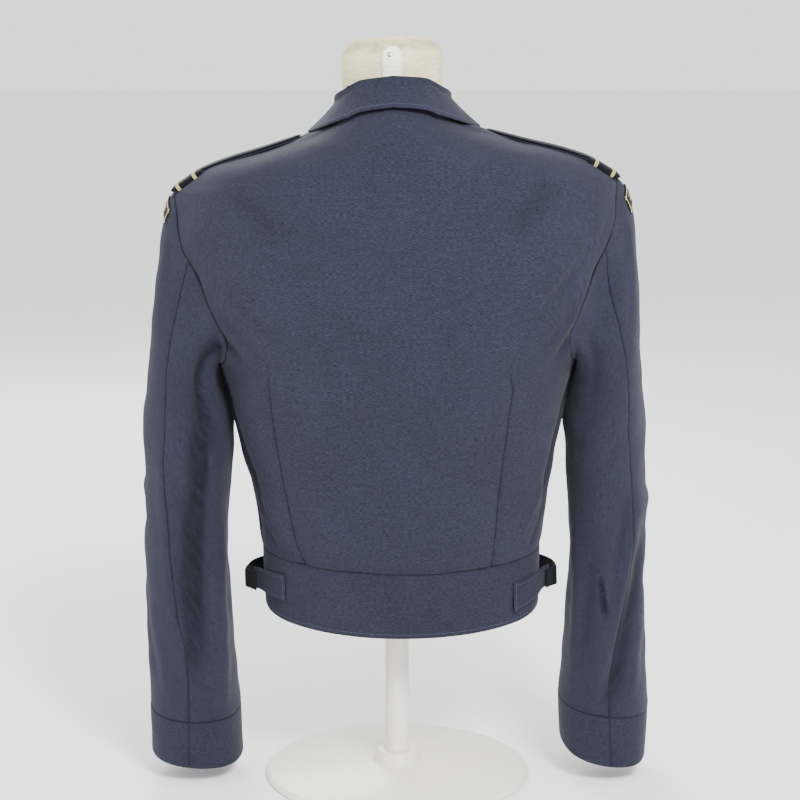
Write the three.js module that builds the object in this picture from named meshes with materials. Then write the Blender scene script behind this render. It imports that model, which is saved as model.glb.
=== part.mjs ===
// A waist-length wool uniform blouse worn by a limbless dress form on a post and round base.
// Millimetres, +Z up. The blouse faces -Y, its back faces +Y, and the wearer's left is +X.
// The origin is the middle of the base's underside.
// The garment is one skin, given by sections, and every cut piece is a wall made on that skin.
import * as THREE from 'three';

// Cloth and seams
const clothWall = 1.6;
const bandWall = 2.6;
const collarWall = 2.2;
const cuffWall = 2.2;
const seamGap = 0.5;
const overlapLift = 2.6;
const bandOverlapLift = 3.3;

// Heights of the cut
const hemZ = 180;
const waistSeamZ = 243;
const armpitZ = 446;
const shoulderPointZ = 630;
const neckPointZ = 697;
const bicepsZ = 428;
const cuffHeight = 53;
const cuffEndZ = { left: 24, right: 31 };

// How the waist hangs: the rise of its seam and of the hem above their heights, at each place round
const waistRise = { side: 12, back: -1.5, front: 8 };
const hemRise = { side: 10, back: -6.5, front: 8 };
const waistRiseTop = 330;

// Seam places round the body, in degrees from the wearer's left side towards the back
const sideSeam = -6;
const frontEdgePast = 8;
const bandEdgePast = 10;
// The degrees past the front edge over which the lap settles back
const lapFade = [4, 15];

// Sections of the worn blouse: half width, depth behind and before the side line, squareness
const bodySections = [
  { z: 178, side: 143.5, back: 90, front: 88, full: 0.1 },
  { z: 212, side: 145, back: 92, front: 90, full: 0.1 },
  { z: 243, side: 145.5, back: 93, front: 91, full: 0.1 },
  { z: 256, side: 148, back: 99, front: 99, full: 0.11 },
  { z: 300, side: 152.5, back: 104, front: 106, full: 0.12 },
  { z: 345, side: 161, back: 111, front: 112, full: 0.13 },
  { z: 385, side: 170, back: 118, front: 118, full: 0.14 },
  { z: 425, side: 178, back: 124, front: 121, full: 0.15 },
  { z: 446, side: 183, back: 126, front: 122, full: 0.15 },
  { z: 458, side: 190, back: 127, front: 122, full: 0.15 },
  { z: 475, side: 203, back: 128, front: 122, full: 0.14 },
  { z: 500, side: 219, back: 128, front: 120, full: 0.13 },
  { z: 530, side: 226, back: 126, front: 115, full: 0.12 },
  { z: 560, side: 231, back: 122, front: 109, full: 0.1 },
  { z: 590, side: 233, back: 115, front: 101, full: 0.08 },
  { z: 612, side: 230, back: 109, front: 95, full: 0.06 },
  { z: 630, side: 224.5, back: 104, front: 88, full: 0.05 },
  { z: 638.5, side: 213, back: 102, front: 85, full: 0.04 },
  { z: 648.5, side: 196, back: 100, front: 80, full: 0.04 },
  { z: 658.5, side: 168.5, back: 98, front: 75, full: 0.05 },
  { z: 668, side: 133, back: 96, front: 70, full: 0.07 },
  { z: 675.5, side: 107, back: 94, front: 66, full: 0.1 },
  { z: 682, side: 84, back: 92, front: 62, full: 0.14 },
  { z: 688, side: 71, back: 90, front: 59, full: 0.17 },
  { z: 693, side: 62, back: 88, front: 56, full: 0.19 },
  { z: 697, side: 57.5, back: 85.5, front: 54, full: 0.2 },
  { z: 705, side: 56, back: 78, front: 52, full: 0.2 },
  { z: 716, side: 55, back: 64, front: 50, full: 0.2 },
];

// Where the neckline lies round the neck, from the front centre to the nape
const necklineTable = [
  { angle: -90, z: 634 },
  { angle: -82, z: 645 },
  { angle: -70, z: 661 },
  { angle: -50, z: 677 },
  { angle: -25, z: 688.5 },
  { angle: 0, z: 697 },
  { angle: 30, z: 703 },
  { angle: 60, z: 711 },
  { angle: 90, z: 714 },
];

// Where the armhole seam runs, by the turn round the armhole: 0 at the shoulder, 90 at the back
const armholeSeam = [
  { turn: 0, angle: 0 },
  { turn: 30, angle: 14 },
  { turn: 60, angle: 22.5 },
  { turn: 90, angle: 31.5 },
  { turn: 120, angle: 37 },
  { turn: 150, angle: 27 },
  { turn: 180, angle: sideSeam },
  { turn: 210, angle: -33 },
  { turn: 240, angle: -41 },
  { turn: 270, angle: -33 },
  { turn: 300, angle: -23 },
  { turn: 330, angle: -13 },
];

// Sleeve sections: outer and inner reach from the centre plane, depth, fore-and-aft place, and how far
// the ring rises at its outer side (tilt) and at its back (pitch)
const leftSleeveSections = [
  { z: 428, outer: 257.5, inner: 180.2, depth: 72, middle: 4, tilt: 0, pitch: 0 },
  { z: 400, outer: 260, inner: 173.4, depth: 70, middle: 4, tilt: 0, pitch: 0 },
  { z: 378, outer: 261, inner: 170.5, depth: 68, middle: 4, tilt: 0, pitch: 0 },
  { z: 345, outer: 262, inner: 172, depth: 66, middle: 4, tilt: 0, pitch: 0 },
  { z: 300, outer: 263, inner: 175.5, depth: 62, middle: 6, tilt: 0, pitch: 0 },
  { z: 250, outer: 264, inner: 178, depth: 60, middle: 5, tilt: 0, pitch: 0 },
  { z: 200, outer: 264.5, inner: 176.5, depth: 58, middle: 1, tilt: 0, pitch: -1 },
  { z: 150, outer: 264, inner: 173, depth: 56, middle: -3, tilt: 1, pitch: -4 },
  { z: 100, outer: 263.5, inner: 169.5, depth: 54, middle: -7, tilt: 3, pitch: -8 },
  { z: 77, outer: 263.5, inner: 168, depth: 53, middle: -9, tilt: 3, pitch: -8 },
  { z: 24, outer: 262.5, inner: 166, depth: 52, middle: -11, tilt: 4, pitch: -6 },
];
const rightSleeveSections = [
  { z: 428, outer: 252.5, inner: 180.8, depth: 72, middle: 4, tilt: 0, pitch: 0 },
  { z: 400, outer: 255, inner: 176.2, depth: 70, middle: 4, tilt: 0, pitch: 0 },
  { z: 378, outer: 256, inner: 174, depth: 68, middle: 4, tilt: 0, pitch: 0 },
  { z: 345, outer: 257.5, inner: 176, depth: 66, middle: 4, tilt: 0, pitch: 0 },
  { z: 300, outer: 259, inner: 179, depth: 62, middle: 6, tilt: 0, pitch: 0 },
  { z: 250, outer: 260, inner: 180.5, depth: 60, middle: 5, tilt: 0, pitch: 0 },
  { z: 200, outer: 261, inner: 178, depth: 58, middle: 1, tilt: 0, pitch: -1 },
  { z: 150, outer: 262.5, inner: 175.5, depth: 56, middle: -3, tilt: -1, pitch: -4 },
  { z: 100, outer: 265, inner: 173, depth: 54, middle: -7, tilt: -4, pitch: -8 },
  { z: 84, outer: 266.5, inner: 172, depth: 53, middle: -9, tilt: -5, pitch: -9 },
  { z: 31, outer: 265.5, inner: 174, depth: 52, middle: -11, tilt: -8, pitch: -11 },
];
const sleeveFullness = 0.1;
// The heights above the cuff's end between which the folds fade in
const foldFade = [33, 83];

// How the sleeve head leaves the armhole: a pull of so many millimetres and a share of the span at
// each end, and how far its head rolls outwards
const capPull = 4;
const capPullAtArmhole = { left: 0.1, right: 0.16 };
const capPullAtBiceps = 0.45;
const headRoll = 0.55;

// The sleeve's back seam, by height, in degrees from its outer side towards the back
const leftBackSeam = [
  { z: 630, turn: 75 },
  { z: 590, turn: 78 },
  { z: 530, turn: 79.5 },
  { z: 474, turn: 76 },
  { z: 418, turn: 70.5 },
  { z: 360, turn: 66.5 },
  { z: 284, turn: 74.5 },
  { z: 187, turn: 83 },
  { z: 140, turn: 90 },
  { z: 24, turn: 85 },
];
const rightBackSeam = [
  { z: 630, turn: 75 },
  { z: 587, turn: 82 },
  { z: 551, turn: 84 },
  { z: 496, turn: 79.5 },
  { z: 437, turn: 68 },
  { z: 360, turn: 62 },
  { z: 291, turn: 59 },
  { z: 230, turn: 63 },
  { z: 170, turn: 76 },
  { z: 105, turn: 87 },
  { z: 31, turn: 84 },
];
const frontSeamTurn = -120;

// The largest folds, as soft troughs (negative rise) or ridges between two places on the skin
const bodyFolds = [
  { angle0: 27, z0: 565, angle1: 40, z1: 452, width: 13, rise: -5 },
  { angle0: 153, z0: 560, angle1: 140, z1: 455, width: 13, rise: -5 },
  { angle0: 8, z0: 440, angle1: 22, z1: 300, width: 16, rise: -5 },
  { angle0: 172, z0: 440, angle1: 158, z1: 300, width: 16, rise: -5 },
  { angle0: -24, z0: 400, angle1: -20, z1: 275, width: 20, rise: 6 },
  { angle0: 204, z0: 400, angle1: 200, z1: 275, width: 20, rise: 6 },
  { angle0: -48, z0: 545, angle1: -60, z1: 430, width: 16, rise: -4 },
  { angle0: 228, z0: 545, angle1: 240, z1: 430, width: 16, rise: -4 },
];
const leftSleeveFolds = [
  { angle0: 60, z0: 380, angle1: 86, z1: 140, width: 8, rise: 3.5 },
  { angle0: 160, z0: 285, angle1: 131, z1: 78, width: 10, rise: 5 },
  { angle0: 105, z0: 330, angle1: 108, z1: 110, width: 16, rise: -5 },
  { angle0: 300, z0: 360, angle1: 330, z1: 200, width: 14, rise: -4 },
];
const rightSleeveFolds = [
  { angle0: 34, z0: 290, angle1: 94, z1: 84, width: 11, rise: -7 },
  { angle0: 52, z0: 300, angle1: 110, z1: 88, width: 10, rise: 4 },
  { angle0: 160, z0: 310, angle1: 126, z1: 88, width: 10, rise: 4 },
  { angle0: 300, z0: 350, angle1: 330, z1: 210, width: 14, rise: -4 },
];

// How the worn blouse leans on its form: sideways shift by height, and one shoulder lower
const sideShift = [
  { z: 180, shift: -5.5 },
  { z: 243, shift: -5 },
  { z: 450, shift: -1 },
  { z: 634, shift: 1.5 },
  { z: 740, shift: 5 },
];
const shoulderDrop = [
  { z: 243, slope: 0 },
  { z: 450, slope: 0.012 },
  { z: 600, slope: 0.031 },
  { z: 700, slope: 0.031 },
  { z: 780, slope: 0.02 },
];

// Collar, by the turn round the neck: rise and inward lean of its fold above the seam,
// and the place on the body where the edge of its fall lies, lifted off the cloth
const collarTable = [
  { angle: 90, rise: 27, inward: 8.4, edgeAngle: 90, edgeZ: 705.5, lift: 7 },
  { angle: 65, rise: 27, inward: 7.2, edgeAngle: 62, edgeZ: 701, lift: 9 },
  { angle: 45, rise: 26, inward: 6.2, edgeAngle: 44, edgeZ: 694, lift: 7.5 },
  { angle: 25, rise: 23, inward: 4.5, edgeAngle: 28, edgeZ: 688, lift: 6 },
  { angle: 0, rise: 20, inward: 2.5, edgeAngle: 6, edgeZ: 682, lift: 4.8 },
  { angle: -20, rise: 20, inward: 3, edgeAngle: -25, edgeZ: 679, lift: 4.6 },
  { angle: -40, rise: 20, inward: 6, edgeAngle: -50, edgeZ: 670, lift: 4.6 },
  { angle: -60, rise: 20, inward: 7, edgeAngle: -62, edgeZ: 656, lift: 4.6 },
  { angle: -75, rise: 21, inward: 5, edgeAngle: -69, edgeZ: 638, lift: 4.6 },
  { angle: -88, rise: 23, inward: 3, edgeAngle: -75, edgeZ: 608, lift: 5 },
];
const foldRun = 0.4;
const foldRadius = 6;
const collarPull = 0.45;
const fallClearance = 2.4;
const collarGap = 1.1;
const throatGap = 3;

// Shoulder straps
const strapWall = 2.4;
const strapLift = 2.3;
const strapEdgeDroop = 1.5;
const strapRows = [629.5, 635, 641, 648, 655, 663, 671, 676, 679];
const strapButtonZ = 668;
const strapWidths = [
  { z: 629.5, half: 25 },
  { z: 655, half: 22.5 },
  { z: 671, half: 20 },
  { z: 676, half: 18 },
  { z: 679, half: 8 },
];
const slideWall = 1.3;
const slideClearance = 0.5;
const slideRows = [635, 641, 648];
const titleWall = 1;
const titleLift = 0.6;
const titleTurn = 32;
const titleRun = [0.1, 0.24];

// Waist adjusters: a tab on the back of the band, a frame buckle at the side, a strap from the front
const adjusterWall = 1.8;
const adjusterLift = 1.2;
const adjusters = {
  left: {
    tabEnd: 38,
    tabLow: [206, 207],
    tabHigh: [233.5, 229],
    strapLow: [207, 205],
    strapHigh: [232, 224],
    buckleX: 160,
    buckleZ: 217,
  },
  right: {
    tabEnd: 42,
    tabLow: [195, 210],
    tabHigh: [226, 232],
    strapLow: [209, 208],
    strapHigh: [234, 227],
    buckleX: 158,
    buckleZ: 220,
  },
};
const buckleHeight = 31;
const buckleWidth = 24;
const buckleWall = 2.6;
const buckleBar = 3.2;
const slotEase = 2; // of the tab's slot, inside the frame's bar
const slotInset = { strap: 3, tab: 4 }; // of each slot's ends, inside the frame's bar
const buckleCorner = 7;
const buckleClearance = 0.9;
const buckleY = 12;
const buckleAlong = [0.6, -0.8];
// The paths of tab and strap: turns round the band, the strap's free places in plan, before and out from
// the buckle, and places along the buckle
const tabTurns = [34, 29, 24];
const tabPlaces = [-10, -4, 2];
const strapTurns = [-34, -29];
const strapBend = [
  [-5, -42],
  [3, -26],
];
const strapPlaces = [12, 4, -8];

// Buttons
const buttonRadius = 9;
const buttonWall = 3.4;
const buttonRim = 3;
const buttonDish = 0.7;
const frontButtonZ = [292, 370, 448, 526, 600];
const bandButtonZ = 208;

// Dress form sections, and its stand
const formSections = [
  { z: 196, side: 133, back: 81, front: 79, full: 0.1 },
  { z: 243, side: 135, back: 83, front: 81, full: 0.1 },
  { z: 300, side: 141, back: 92, front: 92, full: 0.1 },
  { z: 350, side: 150, back: 101, front: 102, full: 0.1 },
  { z: 400, side: 160, back: 110, front: 108, full: 0.1 },
  { z: 446, side: 171, back: 117, front: 113, full: 0.1 },
  { z: 490, side: 185, back: 119, front: 112, full: 0.1 },
  { z: 530, side: 196, back: 117, front: 106, full: 0.1 },
  { z: 565, side: 205, back: 112, front: 99, full: 0.08 },
  { z: 595, side: 210, back: 106, front: 92, full: 0.06 },
  { z: 615, side: 211, back: 101, front: 86, full: 0.05 },
  { z: 628.6, side: 208.4, back: 98.5, front: 82, full: 0.04 },
  { z: 636.7, side: 202, back: 97, front: 79, full: 0.04 },
  { z: 646.7, side: 184, back: 95, front: 75, full: 0.04 },
  { z: 656.7, side: 158, back: 92, front: 70, full: 0.04 },
  { z: 666.2, side: 129.5, back: 89, front: 65, full: 0.03 },
  { z: 673.7, side: 105.5, back: 86, front: 61, full: 0.02 },
  { z: 680.2, side: 82.5, back: 82, front: 57, full: 0 },
  { z: 685.5, side: 68, back: 78, front: 53, full: 0 },
  { z: 691, side: 57, back: 74, front: 50, full: 0 },
  { z: 697, side: 51, back: 68, front: 47, full: 0 },
  { z: 705, side: 49, back: 59, front: 45, full: 0 },
  { z: 714, side: 48.5, back: 52, front: 44, full: 0 },
  { z: 723, side: 49.7, back: 50, front: 44, full: 0.03 },
  { z: 735, side: 51, back: 49, front: 44, full: 0.05 },
  { z: 756, side: 51.5, back: 49, front: 45, full: 0.08 },
  { z: 766, side: 49, back: 46, front: 42, full: 0.08 },
  { z: 773, side: 42, back: 40, front: 36, full: 0.06 },
  { z: 777, side: 29, back: 28, front: 25, full: 0.04 },
];
const neckTapeWidth = 19;
const neckTapeZ = [716, 768];
const neckTapeWall = 1.2;
const neckTapeLift = 0.5;
const neckTapeRows = 6;
const neckTapeEnd = 0.55;
const baseRadius = 140;
const baseHeight = 12;
const postRadius = 12.5;
const collarRingRadius = 24;
const collarRingHeight = 14;
const touchGap = 0.3;

// Mesh density
// Rows of the body panels: a height on the side seam, a turn round the armhole, or a height on the
// shoulder seam, and where the same row crosses the centre of the back and of the front
const bodyRows = [
  { seam: 243, back: 243, front: 243 },
  { seam: 254, back: 254, front: 254 },
  { seam: 270, back: 270, front: 270 },
  { seam: 300, back: 300, front: 298 },
  { seam: 334, back: 330, front: 326 },
  { seam: 370, back: 361, front: 355 },
  { seam: 408, back: 393, front: 384 },
  { seam: 446, back: 424, front: 412 },
  { turn: 168, back: 440, front: 426 },
  { turn: 154, back: 456, front: 440 },
  { turn: 138, back: 474, front: 455 },
  { turn: 120, back: 494, front: 472 },
  { turn: 98, back: 518, front: 491 },
  { turn: 75, back: 543, front: 512 },
  { turn: 57, back: 563, front: 528 },
  { turn: 39, back: 584, front: 543 },
  { turn: 22, back: 604, front: 556 },
  { turn: 8, back: 619, front: 566 },
  { shoulder: 630, back: 628, front: 572 },
  { shoulder: 638.5, back: 641, front: 582 },
  { shoulder: 648.5, back: 656, front: 593 },
  { shoulder: 660, back: 673, front: 605 },
  { shoulder: 672, back: 689, front: 617 },
  { shoulder: 684, back: 702, front: 626 },
  { shoulder: 692, back: 710, front: 631 },
  { shoulder: 697, back: 714, front: 634 },
];
const backColumns = 18;
const frontColumns = 10;
const capRows = [0, 0.05, 0.13, 0.24, 0.38, 0.56, 0.78, 1];
const sleeveRowCount = 9;
const cuffColumns = 20;

const radians = THREE.MathUtils.degToRad;
const smooth = THREE.MathUtils.smoothstep;
const lerp = THREE.MathUtils.lerp;

// A smooth curve through one column of a table, against another column that only rises or falls
function curve(table, column, key = 'z') {
  const rows = [...table].sort((one, other) => one[key] - other[key]);
  const at = rows.map((row) => row[key]);
  const values = rows.map((row) => row[column]);
  const steps = at.slice(1).map((x, i) => (values[i + 1] - values[i]) / (x - at[i]));
  const slopes = values.map((_, i) => {
    if (i === 0) return steps[0];
    if (i === steps.length) return steps[i - 1];
    if (steps[i - 1] * steps[i] <= 0) return 0;
    return (2 * steps[i - 1] * steps[i]) / (steps[i - 1] + steps[i]);
  });
  return (x) => {
    if (x <= at[0]) return values[0];
    if (x >= at[at.length - 1]) return values[at.length - 1];
    const i = at.findIndex((edge) => edge > x) - 1;
    const width = at[i + 1] - at[i];
    const t = (x - at[i]) / width;
    const rest = 1 - t;
    return (
      (1 + 2 * t) * rest * rest * values[i] +
      t * rest * rest * width * slopes[i] +
      t * t * (3 - 2 * t) * values[i + 1] -
      t * t * rest * width * slopes[i + 1]
    );
  };
}

function sections(table) {
  return Object.fromEntries(
    Object.keys(table[0])
      .filter((column) => column !== 'z')
      .map((column) => [column, curve(table, column)]),
  );
}

const body = sections(bodySections);
const form = sections(formSections);
const shiftAt = curve(sideShift, 'shift');
const dropAt = curve(shoulderDrop, 'slope');

// Moves a point of the upright figure to where it stands on the leaning form
function lean(point) {
  const drop = dropAt(point.z) * point.x;
  return new THREE.Vector3(point.x + shiftAt(point.z), point.y, point.z - drop);
}

// The rise of the folds at one place, which is an angle and a height on a skin of about that radius
function foldRise(folds, angle, z, radius) {
  return folds.reduce((rise, fold) => {
    const run = new THREE.Vector2(radians(fold.angle1 - fold.angle0) * radius, fold.z1 - fold.z0);
    const turn = THREE.MathUtils.euclideanModulo(angle - fold.angle0 + 180, 360) - 180;
    const here = new THREE.Vector2(radians(turn) * radius, z - fold.z0);
    const along = here.dot(run) / run.lengthSq();
    const across = Math.abs(here.cross(run)) / run.length();
    const fade = smooth(along, -0.12, 0.25) * (1 - smooth(along, 0.75, 1.12));
    return rise + fold.rise * fade * Math.exp(-((across / fold.width) ** 2));
  }, 0);
}

// The point of a rounded section: squareness fills its corners out
function sectionPoint(side, depth, full, angle) {
  const c = Math.cos(radians(angle));
  const s = Math.sin(radians(angle));
  return [side * c * (1 + full * s * s), depth * s * (1 + full * c * c)];
}

// The share of the way from a side seam to the middle of the back or front, easing at both ends
function acrossShare(angle) {
  const folded = angle > 90 ? 180 - angle : angle;
  const turn = folded < -90 ? -180 - folded : folded;
  return turn > sideSeam ? smooth(turn, sideSeam, 90) : smooth(-turn, -sideSeam, 90);
}

// How far the waist rises at one place: fully below its seam, and less and less above it
function waistShift(angle, z) {
  const middle = Math.sin(radians(angle)) > 0 ? 'back' : 'front';
  const across = acrossShare(angle);
  const [hem, waist] = [hemRise, waistRise].map((rise) => lerp(rise.side, rise[middle], across));
  return lerp(hem, waist, smooth(z, hemZ, waistSeamZ)) * (1 - smooth(z, waistSeamZ, waistRiseTop));
}

function bodySkin(angle, z) {
  const depth = Math.sin(radians(angle)) > 0 ? body.back(z) : body.front(z);
  const [x, y] = sectionPoint(body.side(z), depth, body.full(z), angle);
  const rise = foldRise(bodyFolds, angle, z, body.side(z));
  const reach = 1 + rise / Math.hypot(x, y);
  return lean(new THREE.Vector3(x * reach, y * reach, z + waistShift(angle, z)));
}

// Places a point above or below a skin, square to it
function placer(skin, stepU = 0.5, stepV = 0.5, turn = 1) {
  return (u, v, height) => {
    const alongU = skin(u + stepU, v).sub(skin(u - stepU, v));
    const alongV = skin(u, v + stepV).sub(skin(u, v - stepV));
    const normal = alongU.cross(alongV).normalize().multiplyScalar(turn);
    return skin(u, v).addScaledVector(normal, height);
  };
}

const onBody = placer(bodySkin);

function normalAt(place, u, v) {
  return place(u, v, 1).sub(place(u, v, 0)).normalize();
}

// The geometry of a closed solid from its points and triangles, turned so that its faces point out
function solid(points, triangles) {
  const volume = triangles.reduce((sum, [a, b, c]) => {
    const cross = new THREE.Vector3().crossVectors(points[b], points[c]);
    return sum + points[a].dot(cross);
  }, 0);
  const turned = volume > 0 ? triangles : triangles.map(([a, b, c]) => [a, c, b]);
  const geometry = new THREE.BufferGeometry();
  geometry.setAttribute(
    'position',
    new THREE.Float32BufferAttribute(points.flatMap((point) => point.toArray()), 3),
  );
  geometry.setIndex(turned.flat());
  geometry.computeVertexNormals();
  return geometry;
}

// A cloth wall from two grids of points, its face and its back. A closed wall is a tube
function wall(face, back, closed = false) {
  const rows = face.length;
  const columns = face[0].length;
  const points = [...face.flat(), ...back.flat()];
  const behind = rows * columns;
  const triangles = [];
  const quad = (a, b, c, d) => triangles.push([a, b, c], [a, c, d]);
  const at = (row, column) => row * columns + (column % columns);
  const spans = closed ? columns : columns - 1;
  for (let row = 0; row < rows - 1; row += 1) {
    for (let column = 0; column < spans; column += 1) {
      const ring = [at(row, column), at(row, column + 1), at(row + 1, column + 1), at(row + 1, column)];
      quad(...ring);
      quad(...ring.map((index) => index + behind).reverse());
    }
  }
  for (let column = 0; column < spans; column += 1) {
    const low = [at(0, column), at(0, column + 1)];
    const high = [at(rows - 1, column), at(rows - 1, column + 1)];
    quad(low[1], low[0], low[0] + behind, low[1] + behind);
    quad(high[0], high[1], high[1] + behind, high[0] + behind);
  }
  if (!closed) {
    for (let row = 0; row < rows - 1; row += 1) {
      const first = [at(row, 0), at(row + 1, 0)];
      const last = [at(row, columns - 1), at(row + 1, columns - 1)];
      quad(first[0], first[1], first[1] + behind, first[0] + behind);
      quad(last[1], last[0], last[0] + behind, last[1] + behind);
    }
  }
  return solid(points, triangles);
}

// A wall on a skin: grid holds rows of [u, v] places, and the wall runs from height top down
function panel(place, grid, top, thickness, closed = false) {
  const face = grid.map((row) => row.map(([u, v, up = 0]) => place(u, v, top + up)));
  const back = grid.map((row) => row.map(([u, v, up = 0]) => place(u, v, top + up - thickness)));
  return wall(face, back, closed);
}

// Closed solid through rings of points, each end closed by a fan
function loft(rings) {
  const columns = rings[0].length;
  const middle = (ring) =>
    ring.reduce((sum, point) => sum.add(point), new THREE.Vector3()).divideScalar(columns);
  const points = [...rings.flat(), middle(rings[0]), middle(rings[rings.length - 1])];
  const first = rings.length * columns;
  const triangles = [];
  for (let column = 0; column < columns; column += 1) {
    const next = (column + 1) % columns;
    for (let row = 0; row < rings.length - 1; row += 1) {
      const [a, b] = [row * columns + column, row * columns + next];
      triangles.push([a, b, b + columns], [a, b + columns, a + columns]);
    }
    const last = (rings.length - 1) * columns;
    triangles.push([first, next, column], [first + 1, last + column, last + next]);
  }
  return solid(points, triangles);
}

function spread(from, to, count) {
  return Array.from({ length: count + 1 }, (_, i) => lerp(from, to, i / count));
}

// Degrees that a gap in millimetres takes up round the body at one place
function gapAngle(angle, z, gap) {
  const speed = bodySkin(angle + 0.5, z).distanceTo(bodySkin(angle - 0.5, z));
  return gap / speed;
}

const armholeCentreZ = (armpitZ + shoulderPointZ) / 2;
const armholeHalf = (shoulderPointZ - armpitZ) / 2;

// The armhole seam as a closed smooth curve, from a table with a row every so many degrees
function armholeAngle(turn) {
  const count = armholeSeam.length;
  const step = 360 / count;
  const at = THREE.MathUtils.euclideanModulo(turn, 360) / step;
  const i = Math.floor(at);
  const t = at - i;
  const [a, b, c, d] = [-1, 0, 1, 2].map((k) => armholeSeam[(i + k + count) % count].angle);
  return b + 0.5 * t * (c - a + t * (2 * a - 5 * b + 4 * c - d + t * (3 * (b - c) + d - a)));
}

const necklineCurve = curve(necklineTable, 'z', 'angle');

// The neckline's height at any turn: highest at the nape, lowest at the front
function necklineZ(angle) {
  const turn = angle > 90 ? 180 - angle : angle;
  return necklineCurve(turn < -90 ? -180 - turn : turn);
}

// The end of a row on the side seam, armhole or shoulder seam, as an angle and a height
function rowEnd(row, behind) {
  if (row.seam) return [sideSeam, row.seam];
  if (row.shoulder) return [0, row.shoulder];
  const z = armholeCentreZ + armholeHalf * Math.cos(radians(row.turn));
  return [armholeAngle(behind ? row.turn : 360 - row.turn), z];
}

// One row from the side towards the centre. Near the top the rows bend to the neckline
function halfRow(row, behind, centre, shares) {
  const [edge, edgeZ] = rowEnd(row, behind);
  const middle = behind ? 90 : -90;
  const start = edge + (behind ? 1 : -1) * gapAngle(edge, edgeZ, seamGap / 2);
  const bendShare = smooth(edgeZ, armpitZ + 60, neckPointZ);
  return shares.map((share) => {
    const angle = lerp(start, centre, share);
    const across = Math.min(1, Math.abs(angle - edge) / Math.abs(middle - edge));
    const straight = lerp(necklineZ(edge), necklineZ(middle), across);
    const bend = (necklineZ(angle) - straight) * bendShare;
    let z = lerp(edgeZ, behind ? row.back : row.front, across) + bend;
    if (row === bodyRows[0]) z += seamGap / 2;
    if (row === bodyRows[bodyRows.length - 1]) z -= seamGap / 2;
    return [angle, z];
  });
}

function backPanel() {
  const shares = spread(0, 1, backColumns / 2);
  const grid = bodyRows.map((row) => {
    const half = halfRow(row, true, 90, shares);
    const mirrored = half.slice(0, -1).map(([angle, z]) => [180 - angle, z]);
    return [...half, ...mirrored.reverse()];
  });
  return panel(onBody, grid, 0, clothWall);
}

// The left front laps over the right one at the centre, where it stands out by its own thickness
function lapLift(angle) {
  const past = Math.abs(angle + 90);
  return overlapLift * (1 - smooth(past, frontEdgePast + lapFade[0], frontEdgePast + lapFade[1]));
}

function frontPanel(left) {
  const shares = spread(0, 1, frontColumns);
  const grid = bodyRows.map((row) =>
    halfRow(row, false, -90 - frontEdgePast, shares).map(([angle, z]) =>
      left ? [angle, z, lapLift(angle)] : [180 - angle, z],
    ),
  );
  return panel(onBody, grid, 0, clothWall);
}

// Half of the waistband, and the band's back between the side seams
function bandPiece(from, to, columns, lift = () => 0) {
  const heights = [hemZ, 212, waistSeamZ - seamGap / 2];
  const grid = heights.map((z) => spread(from, to, columns).map((angle) => [angle, z, lift(angle)]));
  return panel(onBody, grid, 0, bandWall);
}

// A sleeve skin. turn goes round from the outer side. run is 0 at the armhole, 1 at the biceps and 2
// at the cuff's end
function sleeveSkin(side, table, folds, endZ) {
  const tube = sections(table);
  const tubeZ = (run) => lerp(bicepsZ, endZ, run - 1);
  const lower = (turn, run) => {
    const z = tubeZ(run);
    const half = (tube.outer(z) - tube.inner(z)) / 2;
    const [x, y] = sectionPoint(half, tube.depth(z), sleeveFullness, turn);
    const rise = foldRise(folds, turn, z, half) * smooth(z, endZ + foldFade[0], endZ + foldFade[1]);
    const reach = 1 + rise / Math.hypot(x, y);
    const middle = (tube.outer(z) + tube.inner(z)) / 2;
    const tilt = tube.tilt(z) * Math.cos(radians(turn)) + tube.pitch(z) * Math.sin(radians(turn));
    return new THREE.Vector3(middle + x * reach, tube.middle(z) + y * reach, z + tilt);
  };
  const armhole = (turn) => {
    const z = armholeCentreZ + armholeHalf * Math.cos(radians(turn));
    return [armholeAngle(turn), z];
  };
  const skin = (turn, run) => {
    if (run >= 1) {
      const point = lower(turn, run);
      return new THREE.Vector3(point.x * side, point.y, point.z);
    }
    const mirrored = (angle, z) => bodySkin(side > 0 ? angle : 180 - angle, z);
    const start = mirrored(...armhole(turn));
    const along = mirrored(...armhole(turn + 1)).sub(mirrored(...armhole(turn - 1))).normalize();
    const [angle, z] = armhole(turn);
    const normal = normalAt(onBody, side > 0 ? angle : 180 - angle, z);
    const away = new THREE.Vector3().crossVectors(along, normal).normalize();
    away.multiplyScalar(away.x * side + away.z * -Math.cos(radians(turn)) * 0.4 > 0 ? 1 : -1);
    if (Math.cos(radians(turn)) < -0.9) away.set(away.x, away.y, Math.abs(away.z)).normalize();
    start.addScaledVector(away, seamGap);
    const end = lower(turn, 1);
    const beyond = lower(turn, 1.02);
    const upward = end.clone().sub(beyond).normalize();
    end.x *= side;
    upward.x *= side;
    const span = start.distanceTo(end);
    const head = 0.5 + 0.5 * Math.cos(radians(turn));
    const leave = away.addScaledVector(normal, headRoll * head).normalize();
    const pull = side > 0 ? capPullAtArmhole.left : capPullAtArmhole.right;
    const startPull = start.clone().addScaledVector(leave, capPull + pull * span);
    const endPull = end.clone().addScaledVector(upward, capPull + capPullAtBiceps * span);
    const path = new THREE.CubicBezierCurve3(start, startPull, endPull, end);
    return path.getPoint(Math.max(0, run));
  };
  return skin;
}

// The turns at which body rows meet the armhole, from the front seam round to it again
const rowTurns = [0, ...bodyRows.filter((row) => row.turn).map((row) => row.turn), 180];
const armholeTurns = [...new Set(rowTurns.flatMap((turn) => [-turn, turn, 360 - turn]))].sort(
  (one, other) => one - other,
);

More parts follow.
